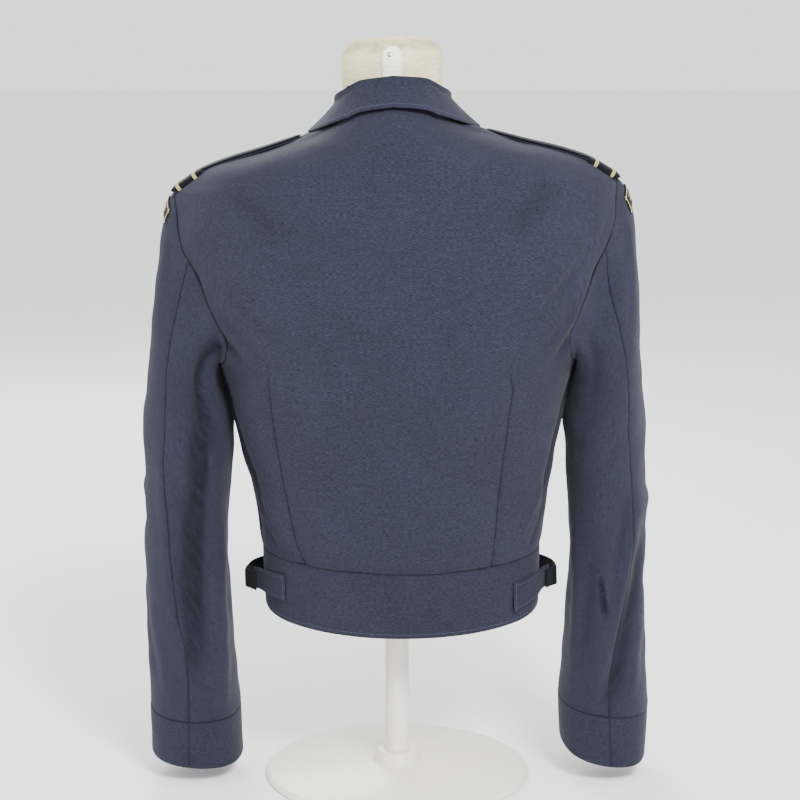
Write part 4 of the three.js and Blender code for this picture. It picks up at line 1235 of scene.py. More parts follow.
def woven_group() -> bpy.types.NodeTree:
    """The shared look of heathered woven cloth, laid out in metres on the cloth's own map, with painted
    shade and stains mixed in from a mask on the mesh.
    """
    name = "woven_cloth"
    if name in bpy.data.node_groups:
        return bpy.data.node_groups[name]
    number, color = "NodeSocketFloat", "NodeSocketColor"
    inputs = [("Dark", color), ("Light", color), ("Deep", color)]
    inputs += [(text, number) for text in ("Seam", "Threads", "Heather", "Blotch", "Patchy")]
    g = GroupMaker(name, inputs, [("Color", color), ("Height", number)])
    place = g.node("ShaderNodeUVMap", {}, uv_map="cloth").outputs[0]
    stretched = g.node("ShaderNodeMapping", {"Vector": place, "Scale": (0.2, 1, 1)}).outputs[0]
    turned = g.node("ShaderNodeMapping", {"Vector": place, "Rotation": (0, 0, 0.95)}).outputs[0]
    fleck = g.noise(stretched, g.source["Heather"], 3)
    grain = g.noise(place, g.source["Threads"], 2)
    patch = g.noise(place, g.source["Blotch"], 4)
    slub = g.noise(stretched, 260, 3)
    period = g.math("MULTIPLY", g.source["Threads"], 0.314)
    twill = g.node("ShaderNodeTexWave", {"Vector": turned, "Scale": period, "Distortion": 1.2})
    mottle = g.math("MULTIPLY", g.spread(fleck, 0.3, 0.7), 0.65)
    mottle = g.math("ADD", mottle, g.math("MULTIPLY", g.spread(grain, 0.3, 0.7), 0.35))
    yarn = g.mix(mottle, g.source["Dark"], g.source["Light"])
    uneven = g.math("ADD", patch, g.math("MULTIPLY", slub, 1.3))
    swing = g.math("MULTIPLY", g.math("SUBTRACT", uneven, 1.15), g.source["Patchy"])
    level = g.math("ADD", g.math("MULTIPLY", swing, 2), 1)
    shaded = g.mix(1.0, yarn, g.grey(level), "MULTIPLY")
    # Painted shade in sewn lines and fold troughs, and stains on the form: the mesh's mask, broken up by
    # noise, mixes the colour towards the shade colour.
    crease = g.node("ShaderNodeAttribute", {}, attribute_name="crease").outputs["Fac"]
    broken = g.noise(place, 90, 2)
    depth = g.math("MULTIPLY", crease, g.source["Seam"])
    depth = g.math("MULTIPLY", depth, g.spread(broken, -0.1, 0.62))
    g.end("Color", g.mix(depth, shaded, g.source["Deep"]))
    ribs = g.math("MULTIPLY", twill.outputs["Fac"], 0.5)
    g.end("Height", g.math("ADD", ribs, g.math("MULTIPLY", mottle, 0.8)))
    return g.tree


def worn_group() -> bpy.types.NodeTree:
    """The shared look of a smooth face with faint rubbed places."""
    name = "worn_face"
    if name in bpy.data.node_groups:
        return bpy.data.node_groups[name]
    number, color = "NodeSocketFloat", "NodeSocketColor"
    inputs = [("Clean", color), ("Worn", color), ("Rubbed", number), ("Roughness", number)]
    g = GroupMaker(name, inputs, [("Color", color), ("Roughness", number)])
    place = g.node("ShaderNodeTexCoord", {}).outputs["Object"]
    marks = g.noise(place, 90, 5)
    fine = g.noise(place, 700, 3)
    rubbed = g.math("MULTIPLY", g.spread(marks, 0.52, 0.72), g.source["Rubbed"])
    g.end("Color", g.mix(rubbed, g.source["Clean"], g.source["Worn"]))
    rough = g.math("ADD", g.source["Roughness"], g.math("MULTIPLY", g.math("SUBTRACT", fine, 0.5), 0.2))
    g.end("Roughness", g.math("ADD", rough, g.math("MULTIPLY", rubbed, 0.2)))
    return g.tree


SERGE = ClothFinish(
    "serge", "serge", (0.0024, 0.0031, 0.0080), (0.0272, 0.0294, 0.0505), (0.0008, 0.0010, 0.0024)
)
# A slightly darker copy of the serge, with weaker painted shade in its creases, for the waistband, cuffs
# and side tabs: painted shade of the garment's lower parts.
SERGE_SHADED = ClothFinish(
    "serge_band", "serge", (0.0038, 0.0046, 0.0090), (0.0238, 0.0260, 0.0450), SERGE.deep, 0.5
)
DARK_CLOTH = ClothFinish(
    "dark_cloth", "dark_cloth", (0.0015, 0.0017, 0.0024), (0.006, 0.0065, 0.009), (0.001, 0.001, 0.001)
)
LINEN = ClothFinish(
    "linen", "linen", (0.55, 0.47, 0.28), (0.80, 0.72, 0.49), (0.20, 0.13, 0.06),
    seam=0.5, threads=1100, heather=700, blotch=22, patchy=0.22,
)
TAPE = ClothFinish(
    "tape", "linen", (0.78, 0.76, 0.68), (0.92, 0.91, 0.86), (0.40, 0.34, 0.24), 0.5, 1100, 700
)
ENAMEL = HardFinish("black_enamel", "black_enamel", (0.006, 0.006, 0.007), (0.12, 0.11, 0.10), 0.5, 0.28)
HORN = HardFinish("dark_button", "dark_button", (0.010, 0.014, 0.030), (0.030, 0.038, 0.065), 0.4, 0.35)
PAINT = HardFinish("white_paint", "white_paint", (0.74, 0.72, 0.68), (0.60, 0.57, 0.52), 0.25, 0.38)
SEWING = HardFinish("serge_thread", "serge", (0.035, 0.043, 0.075), (0.07, 0.08, 0.12), 0.5, 0.6)
PALE_THREAD = HardFinish("pale_thread", "dark_cloth", (0.42, 0.34, 0.16), (0.62, 0.54, 0.34), 0.5, 0.55)
STUD = HardFinish("stud_metal", "linen", (0.45, 0.41, 0.34), (0.16, 0.12, 0.08), 0.5, 0.4, 1.0)


# The least share of its flat size that a piece's cut may have
LEAST_SHARE = 0.31


@dataclass
class Maker:
    """What every sub-assembly shares: it dresses its pieces and puts them on the frame.

    Attributes:
        materials: Each finish's material, made once.
    """

    materials: dict[str, bpy.types.Material]

    def dress(self, obj: Object, finish: ClothFinish | HardFinish, *nodes: str) -> Object:
        """Gives a piece its finish, its body and the solids that it stands for.

        Args:
            obj: The piece.
            finish: What it is made of.
            nodes: The solids, if any.

        Returns:
            The same piece.
        """
        if finish.name not in self.materials:
            self.materials[finish.name] = finish.build()
        obj.data.materials.append(self.materials[finish.name])
        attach(obj, ROOT)
        if nodes:
            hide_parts(*nodes)
        LOG.info("%s: %d faces, %s", obj.name, len(obj.data.polygons), finish.slot)
        return obj

    def cut(
        self, cloth: Cloth, finish: ClothFinish, held: str, rests_on: Sequence[str], *nodes: str
    ) -> Object:
        """Builds a cloth piece and states the size of its cut.

        Args:
            cloth: The piece.
            finish: Its cloth.
            held: How it is held; not used.
            rests_on: What it hangs from or lies on; not used.
            nodes: The solids that it stands for.

        Returns:
            The new object.
        """
        obj = self.dress(cloth.build(), finish, *nodes)
        points = cloth.skin.point(cloth.u, cloth.v)
        width = float(lengths(points, 1)[:, -1].max() * MM)
        length = float(lengths(points, 0)[-1].max() * MM)
        side_a, side_b = points[1:, 1:] - points[:-1, :-1], points[1:, :-1] - points[:-1, 1:]
        area = float(np.linalg.norm(np.cross(side_a, side_b), axis=-1).sum() / 2) * MM * MM
        area = min(max(area, LEAST_SHARE * width * length), width * length)
        LOG.info("%s: cut %.0f by %.0f mm, %.4f m2", obj.name, width / MM, length / MM, area)
        return obj

    def sew(
        self, thread: Thread, name: str, rows: Sequence[tuple[Array, Array]], finish: HardFinish = SEWING
    ) -> None:
        """Adds rows of stitches as one piece."""
        self.dress(thread.sew(name, rows), finish)


def border_line(cloth: Cloth, border: int, inset: float, ends: Pair = (0, 1)) -> tuple[Array, Array]:
    """A line on a cloth piece's face at one distance from one of its borders.

    Args:
        cloth: The piece.
        border: 0 first row, 1 last row, 2 first column, 3 last column.
        inset: Distance from the border in millimetres.
        ends: Shares of the border where the line starts and stops.

    Returns:
        Points in millimetres and directions out of the cloth.
    """
    points = cloth.skin.point(cloth.u, cloth.v)
    distance = cloth.borders(points)[border]
    lift = over(cloth.lift, cloth.u.shape) + cloth.relief
    grids = [distance, cloth.u, cloth.v, lift]
    if border in (2, 3):
        grids = [grid.T for grid in grids]
    if border in (1, 3):
        grids = [grid[::-1] for grid in grids]
    count = grids[0].shape[1]
    chosen = range(int(ends[0] * (count - 1)), int(ends[1] * (count - 1)) + 1)
    u, v, up = (np.array([np.interp(inset, grids[0][:, i], g[:, i]) for i in chosen]) for g in grids[1:])
    return cloth.skin.place(u, v, up), cloth.skin.normal(u, v)


def undulation(points: Array, size: float) -> Array:
    """The slight unevenness of hung cloth, the same on both sides of a seam."""
    x, y, z = points[..., 0], points[..., 1], points[..., 2]
    waves = np.sin(x / 19 + z / 43 + 1.3) * np.sin(z / 31 - y / 23)
    waves = waves + 0.6 * np.sin(x / 11 - z / 17 + y / 29) * np.sin(z / 13 + x / 37 + 0.7)
    waves = waves + 0.35 * np.sin(z / 7.5 + x / 15 + y / 12) * np.sin(x / 9 - z / 21)
    waves = waves + 1.5 * np.sin(x / 37 - z / 61 + 0.4) * np.sin(z / 71 + x / 53 + y / 47 + 2.0)
    return size * waves


# Grids: places near an edge, steps on the body and the sleeves, least parts of a panel's end rows,
# lengths that columns are spaced on, and half the gap of the waistband's seams in degrees
FINE = (0.7, 1.5, 2.5, 4.0)
BODY_STEP = 3.0
SLEEVE_STEP = 2.6
END_PARTS = 6
HALF_PANEL = 110.0
BAND_RADIUS = 145.0
COLLAR_LENGTH = 440.0
BAND_SEAM_TURN = 0.03
ROW_COUNT = len(BACK_ROWS) - 1

# The back's darts: their turn by row number, the height where they end, how they fade and dip, and the
# width of the painted shade along each dart's sewn line
LEFT_DART = {0: 50.1, 1: 49, 3: 46, 5: 46.4, 7: 48.6, 10: 52.2, 14: 50.5, 18: 47, 25: 45}
RIGHT_DART = {0: 54, 1: 53.9, 3: 53.9, 5: 54.3, 7: 55.3, 10: 58.4, 14: 57, 18: 52, 25: 45}
DART_TOP = 473.0
DART_FADE = 45.0
DART_DIP = 1.3
DART_SPREAD = 8.0
DART_LINE = 1.1


@dataclass
class BodyPanels(Maker):
    """The back, both fronts and the waistband.

    Attributes:
        step: Spacing of the grid in millimetres.
    """

    step: float = BODY_STEP

    def build(self) -> None:
        """Makes the five pieces round the body and their stitches."""
        self.cut(self.back(), SERGE, "hung", ["dress_form"], "back")
        for side in Side:
            name = f"front_{side.word}"
            self.cut(self.front(side, name), SERGE, "hung", ["dress_form"], name)
        self.band()

    def row_places(self) -> Array:
        """Places along the rows' numbers, about one step apart on the cloth."""
        count = np.arange(ROW_COUNT + 1)
        edge, edge_z = self.row_ends(count.astype(float), True)
        side = SEAM_BODY.point(edge, edge_z)
        middle = SEAM_BODY.point(np.full(len(count), 90.0), np.array(BACK_ROWS, float))
        spans = np.maximum(*(np.linalg.norm(np.diff(p, axis=0), axis=1) for p in (side, middle)))
        parts = []
        for i, span in enumerate(spans):
            least = END_PARTS if i in (0, ROW_COUNT - 1) else 1
            parts.append(np.linspace(i, i + 1, max(least, math.ceil(span / self.step)) + 1))
        return np.unique(np.round(np.concatenate(parts), 6))

    def row_ends(self, rows: Array, behind: bool) -> tuple[Array, Array]:
        """Where rows end on the side seam, the armhole or the shoulder seam, as a turn and a height.

        Args:
            rows: Row numbers.
            behind: Whether they are the back's.

        Returns:
            Turns and heights.
        """
        armpit = len(SEAM_ROWS) - 1
        shoulder = armpit + len(ARMHOLE_ROWS) - 1
        seam_z = np.interp(rows, np.arange(armpit + 1), SEAM_ROWS)
        turn = np.interp(rows, np.arange(armpit, shoulder + 1), ARMHOLE_ROWS)
        ridge_z = np.interp(rows, np.arange(shoulder, ROW_COUNT + 1), SHOULDER_ROWS)
        edge = armhole_angle(turn if behind else 360 - turn)
        edge = np.where(rows <= armpit, SIDE_SEAM, np.where(rows >= shoulder, 0.0, edge))
        z = np.where(rows <= armpit, seam_z, np.where(rows >= shoulder, ridge_z, armhole_z(turn)))
        return edge, z

    def half(self, behind: bool, centre: float, knot: Curve | None) -> tuple[Array, Array, int]:
        """Half a panel's grid, with fine columns at its edge and at its dart.

        Args:
            behind: Whether it is the back.
            centre: The turn where the rows end.
            knot: The dart's turn by row, or None for the middle.

        Returns:
            Turns, heights and the number of the dart's column.
        """
        rows = self.row_places()
        edge, edge_z = self.row_ends(rows, behind)
        middle = 90.0 if behind else -90.0
        sign = 1 if behind else -1
        part = spaced(HALF_PANEL, self.step, FINE) / 2
        share = np.concatenate([part, part[1:] + 0.5])
        beside = SEAM_BODY.point(edge + 0.5, edge_z) - SEAM_BODY.point(edge - 0.5, edge_z)
        speed = np.linalg.norm(beside, axis=-1)
        start = (edge + sign * SEAM_GAP / 2 / speed)[:, None]
        bend = (knot(rows) if knot else (edge + centre) / 2)[:, None]
        near, far = lerp(start, bend, share * 2), lerp(bend, centre, share * 2 - 1)
        angle = np.where(share < 0.5, near, far)
        across = np.minimum(1, np.abs(angle - edge[:, None]) / np.abs(middle - edge[:, None]))
        straight = lerp(neckline(edge)[:, None], neckline(np.array(middle)), across)
        lift = (neckline(angle) - straight) * smooth(edge_z, ARMPIT_Z + 60, NECK_Z)[:, None]
        centre_z = Curve(np.arange(ROW_COUNT + 1), BACK_ROWS if behind else FRONT_ROWS)(rows)
        z = lerp(edge_z[:, None], centre_z[:, None], across) + lift
        z[0] += SEAM_GAP / 2
        z[-1] -= SEAM_GAP / 2
        return angle, z, len(part) - 1

    def back(self) -> Cloth:
        """The back, in one piece, with a long dart on each side."""
        left, left_z, knot = self.half(True, 90, curve_through(LEFT_DART))
        right, right_z, _ = self.half(True, 90, curve_through(RIGHT_DART))
        u = np.concatenate([left, 180 - right[:, -2::-1]], axis=1)
        v = np.concatenate([left_z, right_z[:, -2::-1]], axis=1)
        points = BODY.point(u, v)
        along = lengths(points, 1)
        # Painted shade in the fold troughs, and along each dart's sewn line below.
        crease, relief = hollows(BODY.folds, u, v, BACK_RADIUS), undulation(points, 0.8)
        for column in (knot, u.shape[1] - 1 - knot):
            distance = along - along[:, column : column + 1]
            fade = 1 - smooth(v[:, column : column + 1], DART_TOP - DART_FADE, DART_TOP)
            crease = np.maximum(crease, bell(distance, DART_LINE) * fade)
            relief = relief - DART_DIP * bell(distance, DART_SPREAD) * fade
        return Cloth("back_cloth", BODY, u, v, relief=relief, creases=crease)

    def front(self, side: Side, name: str) -> Cloth:
        """One front, whose edge laps past the centre.

        Args:
            side: The wearer's side.
            name: The solid's name.

        Returns:
            The cloth piece.
        """
        u, v, _ = self.half(False, -90 - FRONT_LAP, None)
        lift = lap_lift(u) if side is Side.LEFT else 0.0
        if side is Side.RIGHT:
            u = 180 - u
        relief = undulation(BODY.point(u, v), 0.45)
        edges = (Edge.SEAM, Edge.SEAM, Edge.SEAM, Edge.FREE)
        cloth = Cloth(f"{name}_cloth", BODY, u, v, lift=lift, edges=edges, relief=relief)
        if side is Side.LEFT:
            self.sew(Thread(), "front_edge_stitches", [border_line(cloth, 3, 7)])
        return cloth

    def band(self) -> None:
        """The waistband's three pieces, stitched along the hem."""
        rows = []
        for name, low, high in (
            ("band_back", SIDE_SEAM, 180 - SIDE_SEAM),
            ("band_front_left", -90 - FRONT_LAP - 2, SIDE_SEAM),
            ("band_front_right", 180 - SIDE_SEAM, 270 + FRONT_LAP),
        ):
            around = spaced(BAND_RADIUS * math.radians(high - low), self.step, FINE)
            down = spaced(WAIST_Z - HEM_Z, self.step, FINE)
            around = lerp(low + BAND_SEAM_TURN, high - BAND_SEAM_TURN, around)
            u, v = np.meshgrid(around, lerp(HEM_Z, WAIST_Z - SEAM_GAP / 2, down))
            lap = lap_lift(u) * (BAND_LAP / LAP_LIFT) if name == "band_front_left" else 0.0
            edges = (Edge.FREE, Edge.SEAM, Edge.SEAM, Edge.SEAM)
            relief = undulation(BODY.point(u, v), 0.3)
            cloth = Cloth(f"{name}_cloth", BODY, u, v, BAND_WALL, lap, edges, relief)
            self.cut(cloth, SERGE_SHADED, "hung", ["dress_form"], name)
            rows.append(border_line(cloth, 0, 4.5))
        self.sew(Thread(), "hem_stitches", rows)


@dataclass
class Sleeves(Maker):
    """Both two-piece sleeves with their cuffs and shoulder titles."""

    step: float = SLEEVE_STEP

    def build(self) -> None:
        """Makes the sleeves of both sides."""
        for side in Side:
            self.sleeve(side)

    def sleeve(self, side: Side) -> None:
        """Makes one sleeve."""
        skin = SleeveSkin(side)
        seam = curve_through(LEFT_BACK_SEAM if side is Side.LEFT else RIGHT_BACK_SEAM)
        cuff_run = 2 - CUFF_HEIGHT / (BICEPS_Z - skin.end_z)
        cap = np.concatenate([[0, 0.004, 0.009, 0.015, 0.023], np.linspace(0.032, 1, 68)])
        down = spaced(BICEPS_Z - skin.end_z - CUFF_HEIGHT, self.step, FINE)
        run = np.concatenate([cap, lerp(1, cuff_run - CUFF_GAP_RUN, down)[1:]])[:, None]
        back = seam(skin.height(run))
        share = spaced(175, self.step, FINE)[None]
        front = np.full(run.shape, FRONT_SEAM)
        for name, low, high in (("top_sleeve", front, back), ("under_sleeve", back, front + 360)):
            u, v = lerp(low + SEAM_TURN, high - SEAM_TURN, share), run + 0 * share
            head, z = HEAD_FOLDS[side], skin.height(v)
            relief = undulation(skin.point(u, v), 0.8) + fold_rise(head, u, z, SLEEVE_RADIUS)
            relief = relief * smooth(v, 0.02, 0.3)
            shadow = hollows(head + skin.folds, u, z, SLEEVE_RADIUS)
            cloth = Cloth(f"{name}_{side.word}_cloth", skin, u, v, relief=relief, creases=shadow)
            self.cut(cloth, SERGE, "hung", ["back"], f"{name}_{side.word}")
        self.cuff(side, skin, seam, cuff_run)
        self.title(side, skin)

    def cuff(self, side: Side, skin: SleeveSkin, seam: Curve, top: float) -> None:
        """Makes the cuff, a plain band whose seam follows on from the sleeve's.

        Args:
            side: The wearer's side.
            skin: The sleeve's skin.
            seam: The back seam's turn by height.
            top: The run at the cuff's upper edge.
        """
        down = spaced(CUFF_HEIGHT, self.step, FINE)
        around = np.unique(np.concatenate([np.linspace(0, 360, 129), 82 + np.linspace(-8, 8, 21)]))
        u, v = np.meshgrid(around, lerp(top + CUFF_GAP_RUN, 2, down))
        back = seam(lerp(BICEPS_Z, skin.end_z, v - 1))
        # Painted shade along the groove of the back seam.
        crease = bell((u - back) * 0.85, 1.2)
        relief = undulation(skin.point(u, v), 0.35)
        relief[:, -1] = relief[:, 0]
        edges = (Edge.SEAM, Edge.FREE, Edge.PLAIN, Edge.PLAIN)
        name = f"cuff_{side.word}"
        cloth = Cloth(f"{name}_cloth", skin, u, v, 2.2, 0.25, edges, relief, crease, tube=True)
        self.cut(cloth, SERGE_SHADED, "hung", [f"top_sleeve_{side.word}"], name)

    def title(self, side: Side, skin: SleeveSkin) -> None:
        """Makes the dark patch at the head of the sleeve, with a pale sewn border and two plain bars.

        Args:
            side: The wearer's side.
            skin: The sleeve's skin.
        """
        u, v = np.meshgrid(np.linspace(-TITLE_TURN, TITLE_TURN, 30), np.linspace(*TITLE_RUN, 18))
        name = f"sleeve_title_{side.word}"
        cloth = Cloth(f"{name}_cloth", skin, u, v, 1.0, 1.6, ALL_FREE)
        self.cut(cloth, DARK_CLOTH, "laid", [f"top_sleeve_{side.word}"], name)
        thread = Thread(1.5, 1.3, 0.5, 1.5)
        rows = [border_line(cloth, border, 2.2) for border in range(4)]
        for share in (0.42, 0.62):
            line = np.linspace(-20, 20, 40)
            height = np.full(line.shape, lerp(*TITLE_RUN, share))
            rows.append((skin.place(line, height, 1.7), skin.normal(line, height)))
        self.sew(thread, f"title_border_{side.word}", rows, PALE_THREAD)


@dataclass
class Collar(Maker):
    """The turned-down collar with its edge stitching."""

    def build(self) -> None:
        """Makes the collar in one piece."""
        skin = CollarSkin()
        end = COLLAR_TABLE[-1][0]
        parts = [np.linspace(*ends) for ends in ((0, 0.3, 8), (0.33, 0.52, 16), (0.55, 0.94, 16))]
        run = np.concatenate([*parts, [0.955, 0.968, 0.98, 0.99, 1.0]])
        u, v = np.meshgrid(lerp(end, 180 - end, spaced(COLLAR_LENGTH, SLEEVE_STEP, FINE)), run)
        cloth = Cloth("collar_cloth", skin, u, v, COLLAR_WALL, edges=SEWN_START)
        self.cut(cloth, SERGE, "folded", ["back"], "collar")
        rows = [border_line(cloth, 1, 4.2, (0.01, 0.99))]
        rows += [border_line(cloth, border, 4.2) for border in (2, 3)]
        self.sew(Thread(), "collar_stitches", rows)


# Half the strap's width by height on the ridge, its walls and shape, with the wall of the dark sheet of
# painted shadow under it, and the heights of its slide
STRAP_WIDTHS = {629.5: 25, 655: 22.5, 671: 20, 676: 18, 679: 8}
STRAP_LIFT = 2.3
STRAP_WALL = 2.4
STRAP_DROOP = 1.5
SHADOW_SHEET_WALL = 1.7
SLIDE_Z = (631.5, 649)
BRAID_Z = (634.5, 645.0)


class StrapSkin(Skin):
    """A shoulder strap's own skin: along the shoulder ridge, and nearly flat across it."""

    steps = (1.0, 0.5)

    def __init__(self, side: Side) -> None:
        """Picks the side of the ridge."""
        self.ridge = 0.0 if side is Side.LEFT else 180.0
        self.turn = -1.0 if side is Side.LEFT else 1.0

    def point(self, u: Array, v: Array) -> Array:
        """The point at a distance u across the strap and a height v up the ridge."""
        u, v = alike(u, v)
        ridge = np.full(v.shape, self.ridge)
        up = STRAP_LIFT - STRAP_DROOP * (u / 25) ** 2
        placed = SEAM_BODY.point(ridge, v) + SEAM_BODY.normal(ridge, v) * up[..., None]
        placed[..., 1] += u
        return placed


@dataclass
class ShoulderStraps(Maker):
    """Straps that lie along the shoulders over a dark sheet of painted shadow, each in a dark slide with
    two pale braids.
    """

    def build(self) -> None:
        """Makes both straps, the dark sheets of painted shadow under them, their slides and their
        stitches.
        """
        half = curve_through(STRAP_WIDTHS)
        for side in Side:
            skin = StrapSkin(side)
            z = np.concatenate([np.linspace(629.5, 671, 46), np.linspace(671.8, 679, 10)])[:, None]
            across = np.linspace(-1, 1, 22)[None]
            name = f"shoulder_strap_{side.word}"
            u, v = half(z) * across, z + 0 * across
            cloth = Cloth(f"{name}_cloth", skin, u, v, STRAP_WALL, STRAP_WALL)
            cloth.edges = SEWN_START
            self.cut(cloth, SERGE, "laid", ["back"], name)
            rows = [border_line(cloth, border, 3.5, (0.02, 0.98)) for border in (2, 3)]
            self.sew(Thread(), f"strap_stitches_{side.word}", rows)
            # A dark sheet under the strap, a little narrower inside the slide and wider beyond it, is
            # painted shadow under the strap's edges.
            inside = z < 650
            wide = half(z) + np.where(inside, -0.8, 0.7)
            name = f"strap_lining_{side.word}"
            shadow_sheet = Cloth(name, skin, wide * across, v, SHADOW_SHEET_WALL, -0.15)
            shadow_sheet.edges = (Edge.PLAIN, Edge.FREE, Edge.FREE, Edge.FREE)
            self.cut(shadow_sheet, DARK_CLOTH, "laid", ["back"])
            self.slide(side, skin, half)

    def slide(self, side: Side, skin: StrapSkin, half: Curve) -> None:
        """Makes a flat tube of dark cloth round a strap, and its braids.

        Args:
            side: The wearer's side.
            skin: The strap's skin.
            half: Half the strap's width by height.
        """
        z = np.linspace(*SLIDE_Z, 16)
        flats, corner = 14, 8

        def loop(grow: float, places: Array = z) -> Array:
            """Closed rings round the strap, grown outwards, at some heights."""
            rows = []
            for height in places:
                reach = float(half(np.array(height))) + 0.6 + grow
                low, high = -0.5 - grow, STRAP_WALL + 0.5 + grow
                flat = np.linspace(reach, -reach, flats)
                turn = np.radians(np.linspace(90, -90, corner))
                middle, thick = (low + high) / 2, (high - low) / 2
                over = np.concatenate([-flat, reach + 0.8 * thick * np.cos(turn)[1:-1]])
                up = np.concatenate([np.full(flats, high), middle + thick * np.sin(turn)[1:-1]])
                under = np.concatenate([flat, -reach - 0.8 * thick * np.cos(turn)[1:-1]])
                down = np.concatenate([np.full(flats, low), middle - thick * np.sin(turn)[1:-1]])
                across, lift = np.concatenate([over, under]), np.concatenate([up, down])
                across, lift = np.append(across, across[0]), np.append(lift, lift[0])
                rows.append(skin.place(across, np.full(across.shape, height), lift))
            return np.stack(rows)

        outer, inner = loop(1.3), loop(0.1)
        uv = np.stack([lengths(outer, 1), lengths(outer, 0)], axis=-1) * MM
        name = f"strap_slide_{side.word}"
        obj = shell(f"{name}_cloth", outer, inner, uv, np.zeros(outer.shape[:2]), True)
        self.dress(obj, DARK_CLOTH, name)
        f"shoulder_strap_{side.word}"
        for number, place in enumerate(BRAID_Z, 1):
            lines = place + np.array([-0.65, -0.2, 0.25, 0.7])
            rows = [(line, unit(far - line)) for line, far in zip(loop(1.5, lines), loop(2.5, lines))]
            self.sew(Thread(1.9, 1.0, 0.5, 1.7), f"slide_braid_{side.word}_{number}", rows, PALE_THREAD)


class PathSkin(Skin):
    """A strip that stands on edge along a path in plan."""

    steps = (0.5, 0.5)
    turn = -1.0

    def __init__(self, places: Sequence[Pair]) -> None:
        """Makes smooth curves of X and Y against the distance along the path."""
        path = np.array(places, float)
        gone = np.concatenate([[0], np.cumsum(np.linalg.norm(np.diff(path, axis=0), axis=1))])
        self.length = float(gone[-1])
        self.x, self.y = Curve(gone, path[:, 0]), Curve(gone, path[:, 1])

    def point(self, u: Array, v: Array) -> Array:
        """The point at a distance u along the path and a height v.

        Args:
            u: Millimetres along the path, also past its ends.
            v: Height.

        Returns:
            Points in millimetres.
        """
        u, v = alike(u, v)
        inside = np.clip(u, 0, self.length)
        past = u - inside
        x, y = self.x(inside), self.y(inside)
        slope = np.sign(past) * 0.01
        ahead_x = self.x(inside) - self.x(inside - slope)
        ahead_y = self.y(inside) - self.y(inside - slope)
        reach = np.where(past == 0, 0, np.abs(past) / 0.01)
        return lean(np.stack([x + ahead_x * reach, y + ahead_y * reach, v], axis=-1))


@dataclass(frozen=True)
class Adjuster:
    """One side's waist adjuster: heights of the tab and strap at both ends, and the buckle's place."""

    tab_end: float
    tab_low: Pair
    tab_high: Pair
    strap_low: Pair
    strap_high: Pair
    buckle: Pair


ADJUSTERS = {
    Side.LEFT: Adjuster(38, (206, 207), (233.5, 229), (207, 205), (232, 224), (160, 217)),
    Side.RIGHT: Adjuster(42, (195, 210), (226, 232), (209, 208), (234, 227), (158, 220)),
}
BUCKLE_Y = 12.0
STRIP_WIDTH = 26.0
STRIP_STEP = 2.2
STRIP_FINE = (0.6, 1.4, 2.4)
BUCKLE_ALONG = (0.6, -0.8)


